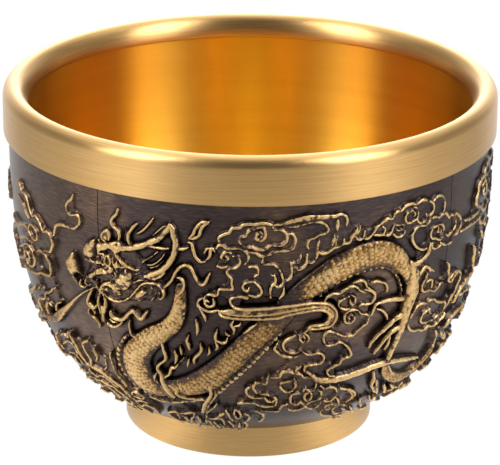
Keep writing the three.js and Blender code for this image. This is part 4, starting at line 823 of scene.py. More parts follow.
def spread(mask, millimetres):
    """The mask grown by a disc of this radius."""
    reach = int(millimetres / CELL)
    grown = mask.copy()
    for shift in range(-reach, reach + 1):
        half = int(math.sqrt(reach**2 - shift**2))
        total = np.cumsum(np.pad(mask, ((0, 0), (half + 1, half))).astype(np.int32), 1)
        run = total[:, 2 * half + 1 :] > total[:, : -2 * half - 1]
        if shift > 0:
            grown[shift:] |= run[:-shift]
        elif shift < 0:
            grown[:shift] |= run[-shift:]
        else:
            grown |= run
    return grown


# Half width and height of the lines that have one size, and what the other lines have on top of their own
CLOUD_BEAD = (0.35, 0.94)
HAIR_BEAD = (0.35, 1.02)
HAIR_TAPER = 0.35
RIBBON_BEAD = (0.32, 1.22)
RIBBON_CROWN = 0.2
EXTRA_WIDTH = 0.06
EXTRA_HEIGHT = 0.02
# Plates between lines that lie closer than the gap, and the plate under the head with its rounded edge
PLATE_HEIGHT = 0.42
PLATE_GAP = 2.3
PLATE_BLUR = 0.09
HEAD_PLATE = (0.5, 0.8)
# How much craggier than the clouds the head is, with this edge, and how much smoother the scaled body is
CRAGGY_HEAD = (0.8, 0.6)
SMOOTHER_BODY = 0.4
# The body's scales, and the plates of its belly with the grooves between them
SCALE_WIDTH = 0.56
SCALE_PITCH = 0.74
SCALE_SLOPE = 0.07
SCALE_GROOVE = 0.1
SCUTE_PITCH = 0.95
SCUTE_GROOVE = 0.3
GROOVE_WIDTH = 0.15
# The dark ridge of the back ends at this way round, and fades out before it
RIDGE_END = 17
RIDGE_FADE = 5
# The relief keeps this far inside the rim's edge, and would reach this high
RIM_MARGIN = 0.03
FULL_HEIGHT = 1.3
# Round the sides the relief gets lower from this way round on, by this share
SIDE_START = 42
SIDE_FADE = 4
LOWER_BY = 0.35
# How high the casting's lumps are, and how soft its edges
GRAIN_HEIGHT = 0.04
CAST_SOFTNESS = 0.05


def filled_between(lines, gap):
    """Raised plates between lines that lie closer than the gap, with soft edges."""
    drawn = lines > 0.2
    closed = ~spread(~spread(drawn, gap / 2), gap / 2)
    return np.clip(blurred(closed.astype(np.float32), PLATE_BLUR) * 1.6 - 0.3, 0, 1)


def cast_grain():
    """Small uneven lumps that the casting leaves, about 0.1 to 0.6 mm across, as a share of their usual
    height."""
    chance = np.random.default_rng(11)
    lumps = np.zeros((rows, columns), np.float32)
    for size, share in ((0.11, 0.6), (0.26, 0.8)):
        specks = blurred(chance.random((rows, columns), np.float32), size)
        lumps += share * (specks - specks.mean()) / specks.std()
    return np.clip(lumps, -2.2, 2.2)


def carve_relief():
    """Height of the relief over the casting's face in millimetres, how dark the dragon's body stays (below 0
    where it is rubbed more than the rest), and how much of the casting's grain each place takes."""
    lines = np.zeros((rows, columns), np.float32)
    for points in CLOUD_LINES + LOW_LINES:
        raise_bead(lines, points, *CLOUD_BEAD)
    # The clouds go on round the sides, past the place where the sheet meets its own start
    for points in CLOUD_LINES[SIDE_CLOUD_LINES]:
        for way_round, way_up, size in SIDE_CLOUDS:
            for start in (way_round, way_round + 2 * SHEET_HALF):
                moved = [(start + size * a, way_up + size * (t - CLOUD_MIDDLE)) for a, t in points]
                raise_bead(lines, moved, *CLOUD_BEAD)
    for half_width, height, points in LEFT_LINES + EDGE_LINES:
        raise_bead(lines, points, half_width + EXTRA_WIDTH, height + EXTRA_HEIGHT)
    relief = np.maximum(lines, PLATE_HEIGHT * filled_between(lines, PLATE_GAP))
    for points in HAIR_LINES:
        raise_bead(relief, points, *HAIR_BEAD, HAIR_TAPER)
    for stations in CLAW_ROLLS + BREATH:
        raise_roll(relief, stations)
    raise_dome(relief, HEAD_BASE, *HEAD_PLATE)
    for half_width, height, points in HEAD_LINES:
        raise_bead(relief, points, half_width + EXTRA_WIDTH, height + EXTRA_HEIGHT)
    for height, rounding, points in HEAD_DOMES:
        raise_dome(relief, points, height, rounding)

    body = np.zeros_like(relief)
    maps = [np.zeros_like(relief) for _ in range(3)]
    for stations in BODY_RUNS:
        raise_roll(body, stations, maps=maps)
    relief = np.maximum(relief, body + scale_pattern(*maps) * (body > 0.3))
    craggy = np.zeros_like(relief)
    raise_dome(craggy, HEAD_BASE, *CRAGGY_HEAD)
    cragginess = 1 + craggy - SMOOTHER_BODY * (body > 0.3)
    # The ridge of the back stays dark, with a ragged edge, and the rest of the body is rubbed more
    ragged = 0.13 * np.sin(maps[0] * 2 * math.pi / SCALE_PITCH)
    back = np.clip((maps[1] / np.maximum(maps[2], 0.1) - 0.5 + ragged) / 0.4, 0, 1) * (body > 0.2)
    back = back * np.clip((RIDGE_END - A) / RIDGE_FADE, 0, 1) - 0.6 * (body > 0.5)

    belly = np.zeros_like(relief)
    belly_maps = [np.zeros_like(relief) for _ in range(3)]
    for stations in BELLY_RUNS:
        raise_roll(belly, stations, maps=belly_maps)
    gaps = np.exp(-((((belly_maps[0] / SCUTE_PITCH) % 1 - 0.5) / GROOVE_WIDTH) ** 2))
    relief = np.maximum(relief, belly - SCUTE_GROOVE * gaps * (belly > 0.1))

    for stations in RIBBON_ROLLS:
        raise_roll(relief, stations, RIBBON_CROWN)
    for points in RIBBON_LINES:
        raise_bead(relief, points, *RIBBON_BEAD)
    return relief, back, cragginess


def scale_pattern(along, across, half):
    """Overlapping scales: each rises to its rounded free edge and drops to the next row. They get flatter
    where the body is thin."""
    row = np.floor(along / SCALE_PITCH)
    x = (across / SCALE_WIDTH + 0.5 * (row % 2)) % 1 - 0.5
    y = along / SCALE_PITCH - row
    edge = 0.15 + 0.75 * np.sqrt(np.clip(1 - (1.9 * x) ** 2, 0, 1))
    ramp = np.where(y < edge, y + 0.35, y - 0.55 * edge)
    groove = np.exp(-(((y - edge) / GROOVE_WIDTH) ** 2))
    return (SCALE_SLOPE * (ramp - 0.5) - SCALE_GROOVE * groove) * np.clip(half / 1.3, 0, 1)


# Near the rim the relief gets lower, so that nothing stands past the rim's edge
room_under_rim = (RIM_RADIUS - RIM_MARGIN - np.interp(T, face_way, face_radius)) / FULL_HEIGHT
lumps = cast_grain()
relief, up_the_back, cragginess = carve_relief()
lumps *= cragginess
relief *= 1 - LOWER_BY * np.clip((np.abs(A) - SIDE_START) / SIDE_FADE, 0, 1)
relief += GRAIN_HEIGHT * lumps * np.clip(relief / 0.5, 0.1, 1)
lowered = np.minimum(1, room_under_rim)[:, None].astype(np.float32)
relief *= lowered
softened = blurred(relief, CAST_SOFTNESS)
even = softened / lowered
nearby = blurred(even, 0.22)
around = blurred(even, 0.5)
wide = blurred(even, 0.8)
# Channels of the wear and shade map: how far the rubbing reaches, how deep the hollow is, and how proud it
# stands.
# All set a place's height against the mean height near it. The hollow channel darkens the hollows as black
# patina with painted shade, and the proud channel brightens the gold's crests partly as a painted highlight.
rubbed = even + 0.5 * (even - around) + (even - nearby) + 0.07 * lumps - 0.32 * up_the_back
hollow_patina_and_shade = 0.85 * (nearby - even) + 0.33 * (wide - even) + 0.1 * up_the_back
wear_and_shade_map = np.stack([rubbed, hollow_patina_and_shade, even + 3 * (even - nearby)], -1)


def sampled(sheet, a, t):
    """The sheet's values at these places. It repeats after half a turn."""
    x = ((a + SHEET_HALF) / (2 * SHEET_HALF) * columns - 0.5) % columns
    y = np.clip(t / FACE_LENGTH * (rows - 1), 0, rows - 1.001)
    i, j = np.floor(x).astype(int), np.floor(y).astype(int)
    u, v = x - i, y - j
    if sheet.ndim == 3:
        u, v = u[..., None], v[..., None]
    right = (i + 1) % columns
    i = i % columns
    low = sheet[j, i] * (1 - u) + sheet[j, right] * u
    high = sheet[j + 1, i] * (1 - u) + sheet[j + 1, right] * u
    return low * (1 - v) + high * v


def deselect_all():
    if bpy.context.object and bpy.context.object.mode == "EDIT":
        bpy.ops.object.mode_set(mode="OBJECT")
    bpy.ops.object.select_all(action="DESELECT")


def make_active(piece):
    deselect_all()
    piece.select_set(True)
    bpy.context.view_layer.objects.active = piece


def apply_modifier(piece, kind, **settings):
    make_active(piece)
    modifier = piece.modifiers.new(kind.title(), kind)
    for name, value in settings.items():
        setattr(modifier, name, value)
    bpy.ops.object.modifier_apply(modifier=modifier.name)


def turned_piece(name, profile):
    """A ring or bowl turned from its profile of (radius, height) in millimetres: a circle that is pulled
    from corner to corner, then joined to its own start, or closed at the pole."""
    deselect_all()
    radius, height = profile[0]
    bpy.ops.mesh.primitive_circle_add(vertices=TURN_STEPS, radius=radius * MM, location=(0, 0, height * MM))
    bpy.ops.object.transform_apply(location=True, rotation=False, scale=False)
    piece = bpy.context.object
    piece.name = piece.data.name = name
    bpy.ops.object.mode_set(mode="EDIT")
    bpy.ops.mesh.select_all(action="SELECT")
    for (old_radius, old_height), (new_radius, new_height) in zip(profile[:-1], profile[1:]):
        rise = (new_height - old_height) * MM
        widen = new_radius / old_radius
        bpy.ops.mesh.extrude_edges_move(TRANSFORM_OT_translate={"value": (0, 0, rise)})
        bpy.ops.transform.resize(value=(widen, widen, 1), center_override=(0, 0, new_height * MM))
    bpy.ops.mesh.select_all(action="DESELECT")
    bpy.ops.mesh.select_non_manifold()
    if profile[0][0] > POLE_RADIUS:
        bpy.ops.mesh.bridge_edge_loops()
    else:
        bpy.ops.mesh.edge_face_add()
    bpy.ops.mesh.select_all(action="SELECT")
    bpy.ops.mesh.remove_doubles(threshold=1e-6)
    bpy.ops.mesh.normals_make_consistent(inside=False)
    bpy.ops.object.mode_set(mode="OBJECT")
    return piece


def smooth_with_edges(piece, degrees):
    make_active(piece)
    bpy.ops.object.shade_smooth_by_angle(angle=math.radians(degrees))


def round_corner(centre, radius, first, last, steps):
    """Points of an arc about (radius, height) from one angle to another, in degrees."""
    angles = np.radians(np.linspace(first, last, steps + 1))
    return [(centre[0] + radius * math.cos(angle), centre[1] + radius * math.sin(angle)) for angle in angles]


def finish_piece(piece, node, material):
    """Gives the piece its one material, hangs it on the root body, and hides the imported solid it stands
    for.
    """
    piece.data.materials.clear()
    piece.data.materials.append(material)
    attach(piece, "root")
    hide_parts(node)


# The slope inside the lip is this much of a quarter turn, in degrees
SLOPE_TURN = 78
SLOPE_STEPS = 22


# Rim ring: its lip rolls over from the band, then slopes down inside to a waist just over the bowl's collar
def make_rim():
    lip = (RIM_RADIUS - LIP_BORE) / 2
    crown = LIP_BORE + lip
    profile = [(SKIRT_BORE, BAND_BOTTOM)]
    edge = (RIM_RADIUS - BAND_EDGE_ROUND, BAND_BOTTOM + BAND_EDGE_ROUND)
    profile += round_corner(edge, BAND_EDGE_ROUND, -90, 0, 4)
    profile += [(RIM_RADIUS, BAND_BOTTOM + BAND_STRAIGHT)]
    profile += round_corner((crown, CUP_HEIGHT - lip), lip, 0, 90, 14)
    turns = np.radians(np.linspace(0, SLOPE_TURN, SLOPE_STEPS))[1:]
    slope_radius = crown - (crown - LIP_WAIST) * np.sin(turns)
    slope_height = LIP_END + (CUP_HEIGHT - LIP_END) * np.cos(turns)
    profile += list(zip(slope_radius.tolist(), slope_height.tolist()))
    # The lip's end is rounded a little
    for out, up in ((0.01, 0.2), (0.06, 0.07), (0.17, 0)):
        profile += [(LIP_WAIST + out, LIP_END + up)]
    profile += [(LINER_BORE, LIP_END), (LINER_BORE, LINER_TOP), (SKIRT_BORE, LINER_TOP)]
    return turned_piece("turned_rim_ring", profile)


# Bowl: outer wall up from its flat floor, the collar, and the inner wall down again
def make_bowl():
    floor = FOOT_HEIGHT + LINER_WALL

    def wall(depth, lowest):
        """Points down a wall at this depth under the casting's face, to its lowest height."""
        turns = np.linspace(0, math.pi / 2 - 0.02, 2 * FACE_STEPS)
        radius, height = wall_points(turns, depth)
        last = turns[np.argmin(np.abs(height - lowest))]
        radius, height = wall_points(np.linspace(0, last, WALL_STEPS + 1), depth)
        return list(zip(radius.tolist(), height.tolist()))

    outside = wall(LINER_DEPTH, FOOT_HEIGHT)
    inside = wall(LINER_DEPTH + LINER_WALL, floor)
    collar_radius = SHELL_RADIUS - LINER_DEPTH
    profile = [(POLE_RADIUS, FOOT_HEIGHT), (FLOOR_RING, FOOT_HEIGHT)]
    profile += outside[::-1]
    profile += [(collar_radius, LINER_TOP), (collar_radius - LINER_WALL, LINER_TOP)]
    profile += inside
    profile += [(FLOOR_RING, floor), (POLE_RADIUS, floor)]
    return turned_piece("spun_bowl", profile)


# Foot ring, with a ledge inside its top edge for the base disc
def make_foot():
    profile = [(FOOT_BORE, 0)]
    edge = (FOOT_RADIUS - FOOT_EDGE_ROUND, FOOT_EDGE_ROUND)
    profile += round_corner(edge, FOOT_EDGE_ROUND, -90, 0, 5)
    profile += [(FOOT_RADIUS, FOOT_HEIGHT), (FOOT_BORE + LEDGE_WIDTH, FOOT_HEIGHT)]
    profile += [(FOOT_BORE + LEDGE_WIDTH, LEDGE_HEIGHT), (FOOT_BORE, LEDGE_HEIGHT)]
    return turned_piece("turned_foot_ring", profile)


# Base disc, flush with the foot ring's top
def make_disc():
    profile = [(POLE_RADIUS, LEDGE_HEIGHT), (DISC_RADIUS, LEDGE_HEIGHT)]
    profile += [(DISC_RADIUS, FOOT_HEIGHT), (POLE_RADIUS, FOOT_HEIGHT)]
    return turned_piece("base_plate", profile)


# A relief quarter: the carved face, a plain wall inside it, and four walls that join their edges
QUARTER_TURN = math.pi * ARC_RADIUS / 2
# Cells of the face to one of the inner wall
COARSE = 8
RELIEF_TRIANGLES = 190000
FACE_EDGE_ANGLE = 75
TURNED_EDGE_ANGLE = 30


def make_quarter(name, middle_degrees):
    """One quarter of the casting, with its middle at this turn from the front."""
    middle = math.radians(middle_degrees) * ARC_RADIUS
    low_a, high_a = middle - QUARTER_TURN / 2, middle + QUARTER_TURN / 2
    across = COARSE * int(round(QUARTER_TURN / CELL / COARSE))
    up = COARSE * int(round(FACE_LENGTH / CELL / COARSE))
    share = np.linspace(0, 1, across + 1)
    t = np.linspace(0, FACE_LENGTH, up + 1)
    radius = np.interp(t, face_way, face_radius)
    # The joint is a slit of even width, so it takes more of the turn low down, where the cup is narrow
    trim = JOINT_GAP / 2 / radius * ARC_RADIUS
    a = (low_a + trim)[:, None] * (1 - share) + (high_a - trim)[:, None] * share
    t = t[:, None] + 0 * a
    fine = on_cup(a, t, sampled(softened, a, t)).reshape(-1, 3)
    coarse_a, coarse_t = a[::COARSE, ::COARSE], t[::COARSE, ::COARSE]
    coarse = on_cup(coarse_a, coarse_t, -SHELL_WALL).reshape(-1, 3)

    def grid(count_up, count_across, offset):
        """Numbers of a grid's points, and its quads."""
        shape = (count_up + 1, count_across + 1)
        index = np.arange(shape[0] * shape[1]).reshape(shape) + offset
        corners = (index[:-1, :-1], index[:-1, 1:], index[1:, 1:], index[1:, :-1])
        return index, np.stack([corner.ravel() for corner in corners], -1)

    face, face_quads = grid(up, across, 0)
    inner, inner_quads = grid(up // COARSE, across // COARSE, len(fine))

    def border(index):
        """The grid's edge, once round."""
        return np.concatenate([index[0, :-1], index[:-1, -1], index[-1, :0:-1], index[:0:-1, 0]])

    outer_loop, inner_loop = border(face), border(inner)
    triangles = []
    for i, corner in enumerate(outer_loop):
        following = outer_loop[(i + 1) % len(outer_loop)]
        here = inner_loop[(i // COARSE) % len(inner_loop)]
        triangles.append((following, corner, here))
        if i % COARSE == COARSE - 1:
            ahead = inner_loop[(i // COARSE + 1) % len(inner_loop)]
            triangles.append((following, here, ahead))

    quads = np.vstack([face_quads, inner_quads[:, ::-1]])
    corners = np.concatenate([quads.ravel(), np.array(triangles).ravel()]).astype(np.int32)
    points = np.vstack([fine, coarse]).astype(np.float32)
    mesh = bpy.data.meshes.new(name)
    mesh.vertices.add(len(points))
    mesh.vertices.foreach_set("co", points.ravel())
    mesh.loops.add(len(corners))
    mesh.loops.foreach_set("vertex_index", corners)
    starts = np.concatenate([np.arange(len(quads)) * 4, len(quads) * 4 + np.arange(len(triangles)) * 3])
    mesh.polygons.add(len(starts))
    mesh.polygons.foreach_set("loop_start", starts.astype(np.int32))
    places = np.vstack([
        np.stack([a.ravel(), t.ravel()], -1),
        np.stack([coarse_a.ravel(), coarse_t.ravel()], -1),
    ])
    layer = mesh.uv_layers.new(name="sheet_place")
    layer.data.foreach_set("uv", places[corners].astype(np.float32).ravel())
    mesh.update(calc_edges=True)
    mesh.validate()
    piece = bpy.data.objects.new(name, mesh)
    bpy.context.collection.objects.link(piece)
    apply_modifier(piece, "TRIANGULATE")
    triangles_now = len(piece.data.polygons)
    apply_modifier(piece, "DECIMATE", ratio=RELIEF_TRIANGLES / triangles_now)
    paint_wear_and_shade(piece)
    smooth_with_edges(piece, FACE_EDGE_ANGLE)
    return piece


# How the wear and the painted shade and highlight are stored in a channel that runs from 0 to 1
WEAR_AND_SHADE_SCALE = 0.5
WEAR_AND_SHADE_ZERO = 0.25
# Points this far inside the casting's face belong to its inner wall
INNER_WALL_SIDE = 0.3


def paint_wear_and_shade(piece):
    """Writes the wear and shade map at each point of the mesh: rubbing, hollows of black patina with painted
    shade, and proud crests with a painted highlight. The plain inner wall gets none.
    """
    mesh = piece.data
    corners = np.zeros(len(mesh.loops), np.int32)
    mesh.loops.foreach_get("vertex_index", corners)
    uv = np.zeros(len(mesh.loops) * 2, np.float32)
    mesh.uv_layers["sheet_place"].data.foreach_get("uv", uv)
    place = np.zeros((len(mesh.vertices), 2), np.float32)
    place[corners] = uv.reshape(-1, 2)
    wear_and_shade = sampled(wear_and_shade_map, place[:, 0], place[:, 1])
    points = np.zeros(len(mesh.vertices) * 3, np.float32)
    mesh.vertices.foreach_get("co", points)
    points = points.reshape(-1, 3) / MM
    ground = on_cup(place[:, 0], place[:, 1], np.zeros(len(place))) / MM
    inside = np.hypot(points[:, 0], points[:, 1]) < np.hypot(ground[:, 0], ground[:, 1]) - INNER_WALL_SIDE
    wear_and_shade[inside] = 0
    layer = mesh.color_attributes.new(name="wear_and_shade", type="FLOAT_COLOR", domain="POINT")
    stored = np.clip(wear_and_shade * WEAR_AND_SHADE_SCALE + WEAR_AND_SHADE_ZERO, 0, 1)
    colours = np.concatenate([stored, np.ones((len(wear_and_shade), 1))], 1)
    layer.data.foreach_set("color", colours.astype(np.float32).ravel())


def colour(hex_text):
    """sRGB hex as linear RGBA."""
    channels = [int(hex_text[i : i + 2], 16) / 255 for i in (1, 3, 5)]
    return [c / 12.92 if c <= 0.04045 else ((c + 0.055) / 1.055) ** 2.4 for c in channels] + [1.0]


# Sockets that share a name go by number. A map range takes 0 from between 1 and 2 to between 3 and 4, a math
# node works on 0, 1 and 2, and a mix of colours takes them at 6 and 7 and gives the mix at 2.
def add_node(tree, kind, inputs=None, stops=(), **settings):
    """One node with its settings and links. Inputs are values, or the sockets that feed them. Stops fill a
    colour ramp, as places with an sRGB hex each, or with a number for a grey."""
    node = tree.nodes.new(kind)
    for name, value in settings.items():
        setattr(node, name, value)
    for name, value in (inputs or {}).items():
        if isinstance(value, bpy.types.NodeSocket):
            tree.links.new(value, node.inputs[name])
        else:
            node.inputs[name].default_value = value
    elements = node.color_ramp.elements if stops else ()
    while len(elements) < len(stops):
        elements.new(0.5)
    for element, (place, value) in zip(elements, stops):
        element.position = place
        element.color = colour(value) if isinstance(value, str) else [value, value, value, 1]
    return node


def new_material(name, shader_values):
    material = bpy.data.materials.new(name)
    material.use_nodes = True
    tree = material.node_tree
    tree.nodes.clear()
    shader = add_node(tree, "ShaderNodeBsdfPrincipled", shader_values)
    output = add_node(tree, "ShaderNodeOutputMaterial")
    tree.links.new(shader.outputs[0], output.inputs[0])
    return material, tree, shader


# Metres that a whole radian round the axis counts for in the lathe's marks, so that they are long rings
RING_STRETCH = 0.0006


def satin_brass(name, hex_light, hex_dark, roughness, stretch, spacing, bump):
    """Brass brushed on the lathe: fine rings, with this spacing in millimetres, that spread the light across
    them."""
    values = {"Metallic": 1.0, "Anisotropic": stretch, "Anisotropic Rotation": 0.25}
    material, tree, shader = new_material(name, values)
    # The marks are a noise over the radius and the height, stretched right round the axis
    place = add_node(tree, "ShaderNodeTexCoord").outputs["Object"]
    split = add_node(tree, "ShaderNodeSeparateXYZ", {0: place}).outputs
    flat = add_node(tree, "ShaderNodeVectorMath", {0: place, 1: (1, 1, 0)}, operation="MULTIPLY")
    radius = add_node(tree, "ShaderNodeVectorMath", {0: flat.outputs[0]}, operation="LENGTH")
    turn = add_node(tree, "ShaderNodeMath", {0: split["Y"], 1: split["X"]}, operation="ARCTAN2")
    slow = add_node(tree, "ShaderNodeMath", {0: turn.outputs[0], 1: RING_STRETCH}, operation="MULTIPLY")
    rings = {"X": radius.outputs["Value"], "Y": slow.outputs[0], "Z": split["Z"]}
    joined = add_node(tree, "ShaderNodeCombineXYZ", rings)
    larger = {0: joined.outputs[0], "Scale": 1 / (spacing * MM)}
    scaled = add_node(tree, "ShaderNodeVectorMath", larger, operation="SCALE")
    noise = {"Vector": scaled.outputs[0], "Scale": 1.0, "Detail": 3.0, "Roughness": 0.6}
    marks = add_node(tree, "ShaderNodeTexNoise", noise).outputs[0]

    base = add_node(tree, "ShaderNodeValToRGB", {0: marks}, [(0.25, hex_dark), (0.75, hex_light)])
    tree.links.new(base.outputs[0], shader.inputs["Base Color"])
    uneven = 0.25 * bump
    rough = add_node(tree, "ShaderNodeMapRange", {0: marks, 3: roughness - uneven, 4: roughness + uneven})
    tree.links.new(rough.outputs[0], shader.inputs["Roughness"])
    if bump:
        raised = {"Strength": bump, "Distance": 0.00003, "Height": marks}
        tree.links.new(add_node(tree, "ShaderNodeBump", raised).outputs[0], shader.inputs["Normal"])
    tangent = add_node(tree, "ShaderNodeTangent", direction_type="RADIAL", axis="Z")
    tree.links.new(tangent.outputs[0], shader.inputs["Tangent"])
    return material


# Noises on the casting, as scale, detail and roughness: the grain, broad clouds, browner patches, and how
# the rubbing wanders
GRAIN = (2200.0, 4.0, 0.65)
CLOUDS = (130.0, 3.0, 0.55)
PATCHES = (75.0, 2.0, 0.5)
WANDERING = (700.0, 2.0, 0.6)


def patinated_brass():
    """Cast brass with a dark brown patina, black in the hollows partly as patina and partly as painted shade,
    and rubbed back to pale gold where it stands proud, with a painted highlight on the crests. The ground is
    painted lighter to the left as a sheen and darker to the right as shade."""
    values = {"Metallic": 1.0, "Coat Roughness": 0.35}
    material, tree, shader = new_material("dark_patina_cast_brass", values)
    wear_and_shade = add_node(tree, "ShaderNodeAttribute", attribute_name="wear_and_shade").outputs["Color"]
    reach, depth, height = add_node(tree, "ShaderNodeSeparateColor", {0: wear_and_shade}).outputs
    place = add_node(tree, "ShaderNodeTexCoord").outputs["Object"]
    noises = []
    for scale, detail, roughness in (GRAIN, CLOUDS, PATCHES, WANDERING):
        noise = {"Vector": place, "Scale": scale, "Detail": detail, "Roughness": roughness}
        noises.append(add_node(tree, "ShaderNodeTexNoise", noise).outputs[0])
    grain, cloud, patches, wander = noises
    # Slanting brush strokes of the patina, about 0.2 mm wide and several long
    slant = {"Vector": place, "Rotation": (0.0, 0.3, 0.0), "Scale": (0.14, 0.14, 1.0)}
    stretched = add_node(tree, "ShaderNodeMapping", slant).outputs[0]
    noise = {"Vector": stretched, "Scale": 5200.0, "Detail": 3.0}
    strokes = add_node(tree, "ShaderNodeTexNoise", noise).outputs[0]

    # The rubbing wanders, so that the gold breaks off here and there along the thin lines
    missed = add_node(tree, "ShaderNodeMapRange", {0: wander, 1: 0.35, 2: 0.65, 3: -0.1, 4: 0.05}).outputs[0]
    reached = add_node(tree, "ShaderNodeMath", {0: reach, 1: missed}, operation="ADD").outputs[0]
    soft = add_node(tree, "ShaderNodeMapRange", {0: grain, 1: 0.3, 2: 0.7, 3: 0.42, 4: 0.58}).outputs[0]
    rub = add_node(tree, "ShaderNodeMath", {0: reached, 1: soft}, operation="ADD").outputs[0]
    rub_edge = add_node(tree, "ShaderNodeMapRange", {0: rub, 1: 1.2, 2: 1.3}, clamp=True).outputs[0]
    half_way = {0: rub, 1: 1.1, 2: 1.2, 4: 0.9}
    half_rubbed = add_node(tree, "ShaderNodeMapRange", half_way, clamp=True).outputs[0]
    # Black of the hollows: partly black patina, partly painted shade where the relief shades the ground
    hollow_patina_and_shade = add_node(tree, "ShaderNodeMapRange", {0: depth, 1: 0.295, 2: 0.42}, clamp=True).outputs[0]

    # The patina is browner in patches. To the left it is thinner and browner, and the ground there is also
    # painted lighter as a sheen. To the right the ground is painted darker as shade
    ground_stops = [(0.3, "#362B29"), (0.55, "#453835"), (0.85, "#664E3C")]
    brown_stops = [(0.3, "#54402F"), (0.55, "#6E5646"), (0.85, "#97795C")]
    ground = add_node(tree, "ShaderNodeValToRGB", {0: strokes}, ground_stops).outputs[0]
    brown = add_node(tree, "ShaderNodeValToRGB", {0: strokes}, brown_stops).outputs[0]
    patchy = add_node(tree, "ShaderNodeMapRange", {0: patches, 1: 0.48, 2: 0.72}, clamp=True).outputs[0]
    sideways = add_node(tree, "ShaderNodeSeparateXYZ", {0: place}).outputs["X"]
    # Painted sheen, with thinner patina: the ground gets lighter and browner to the left
    left_part = {0: sideways, 1: -0.016, 2: -0.034, 3: 0.0, 4: 0.85}
    leftward = add_node(tree, "ShaderNodeMapRange", left_part, clamp=True).outputs[0]
    # Painted shade: the ground gets darker to the right
    right_part = {0: sideways, 1: 0.012, 2: 0.034, 3: 0.0, 4: 0.55}
    right_painted_shade = add_node(tree, "ShaderNodeMapRange", right_part, clamp=True).outputs[0]
    patches_and_left_sheen = add_node(tree, "ShaderNodeMath", {0: patchy, 1: leftward}, operation="MAXIMUM").outputs[0]

    # What stands higher is brighter, partly as more rubbing and partly as a painted highlight on the crests
    # with painted shade on the flanks, and the gold is darker on the left side
    proud_wear_and_highlight = add_node(tree, "ShaderNodeMapRange", {0: height, 1: 0.62, 2: 0.9, 3: -0.2, 4: 0.18}).outputs[0]
    both = {"Factor": 0.6, "A": cloud, "B": grain}
    streaked = add_node(tree, "ShaderNodeMix", both, data_type="FLOAT").outputs[0]
    dimmed = {0: leftward, 1: -0.14, 2: streaked}
    duller = add_node(tree, "ShaderNodeMath", dimmed, operation="MULTIPLY_ADD").outputs[0]
    brightness = add_node(tree, "ShaderNodeMath", {0: proud_wear_and_highlight, 1: duller}, operation="ADD").outputs[0]
    gold_stops = [(0.34, "#7A5B36"), (0.48, "#AF8853"), (0.58, "#D2AD74"), (0.8, "#E4C693")]
    gold = add_node(tree, "ShaderNodeValToRGB", {0: brightness}, gold_stops).outputs[0]

    # Laid over the dark ground: brown patches and the painted sheen on the left, the painted shade on the
    # right, black hollows of patina and painted shade, what is half rubbed, and gold
    base = ground
    for share, layer in (
        (patches_and_left_sheen, brown),
        (right_painted_shade, colour("#2C2422")),
        (hollow_patina_and_shade, colour("#0B0807")),
        (half_rubbed, colour("#5A432C")),
        (rub_edge, gold),
    ):
        mix = add_node(tree, "ShaderNodeMix", {"Factor": share, 6: base, 7: layer}, data_type="RGBA")
        base = mix.outputs[2]
    tree.links.new(base, shader.inputs["Base Color"])
    rough = add_node(tree, "ShaderNodeMapRange", {0: rub_edge, 3: 0.34, 4: 0.46})
    tree.links.new(rough.outputs[0], shader.inputs["Roughness"])
    # Wax lies on the patina, but not where it is rubbed off or in the black hollows of patina and painted
    # shade
    bare = add_node(tree, "ShaderNodeMath", {0: rub_edge, 1: hollow_patina_and_shade}, operation="MAXIMUM")
    wax = add_node(tree, "ShaderNodeMapRange", {0: bare.outputs[0], 3: 0.3, 4: 0.0})
    tree.links.new(wax.outputs[0], shader.inputs["Coat Weight"])
    bump = add_node(tree, "ShaderNodeBump", {"Strength": 0.35, "Distance": 0.00004, "Height": grain})
    tree.links.new(bump.outputs[0], shader.inputs["Normal"])
    return material


# Satin brass for the rim and the foot, golden spun brass for the bowl, and plain faced brass underneath
rim_brass = satin_brass("brushed_satin_brass", "#DDB47A", "#C89E60", 0.33, 0.8, 0.16, 0.2)
bowl_brass = satin_brass("spun_golden_brass", "#EDC052", "#E6B84C", 0.29, 0.9, 1.5, 0.0)
foot_brass = satin_brass("brushed_foot_brass", "#DDB47A", "#C89E60", 0.33, 0.8, 0.16, 0.25)
base_brass = satin_brass("faced_base_brass", "#C79A55", "#A87C3C", 0.34, 0.6, 0.3, 0.2)
relief_brass = patinated_brass()

finish_piece(make_rim(), "rim_ring", rim_brass)
finish_piece(make_bowl(), "inner_bowl", bowl_brass)
finish_piece(make_foot(), "foot_ring", foot_brass)
finish_piece(make_disc(), "base_disc", base_brass)
for turned in ("turned_rim_ring", "spun_bowl", "turned_foot_ring", "base_plate"):
    smooth_with_edges(bpy.data.objects[turned], TURNED_EDGE_ANGLE)

front = make_quarter("cast_relief_front", FRONT_QUARTER_MIDDLE)
right = make_quarter("cast_relief_right", FRONT_QUARTER_MIDDLE + 90)


def half_turn_copy(piece, name):
    """The photograph doesn't show the back half, so it repeats the front half."""
    copy = piece.copy()
    copy.data = piece.data.copy()
    copy.name = copy.data.name = name
    copy.data.transform(Matrix.Rotation(math.pi, 4, "Z"))
    bpy.context.collection.objects.link(copy)
    return copy


back = half_turn_copy(front, "cast_relief_back")
left = half_turn_copy(right, "cast_relief_left")
for piece, node in ((front, "front"), (right, "right"), (back, "back"), (left, "left")):
    finish_piece(piece, "relief_quarter_" + node, relief_brass)


# Camera: fitted to the rim, band and foot in the photograph, which is 500 by 465 pixels
PHOTO_WIDTH = 500
SENSOR_WIDTH = 36
FOCAL_PIXELS = 2995.4
SHIFT_ACROSS = 0.5
SHIFT_UP = -19
CAMERA_DISTANCE = 0.4308
CAMERA_RISE = math.radians(19.9)
CAMERA_ROLL = math.radians(0.365)
AIM_HEIGHT = 30.256 * MM

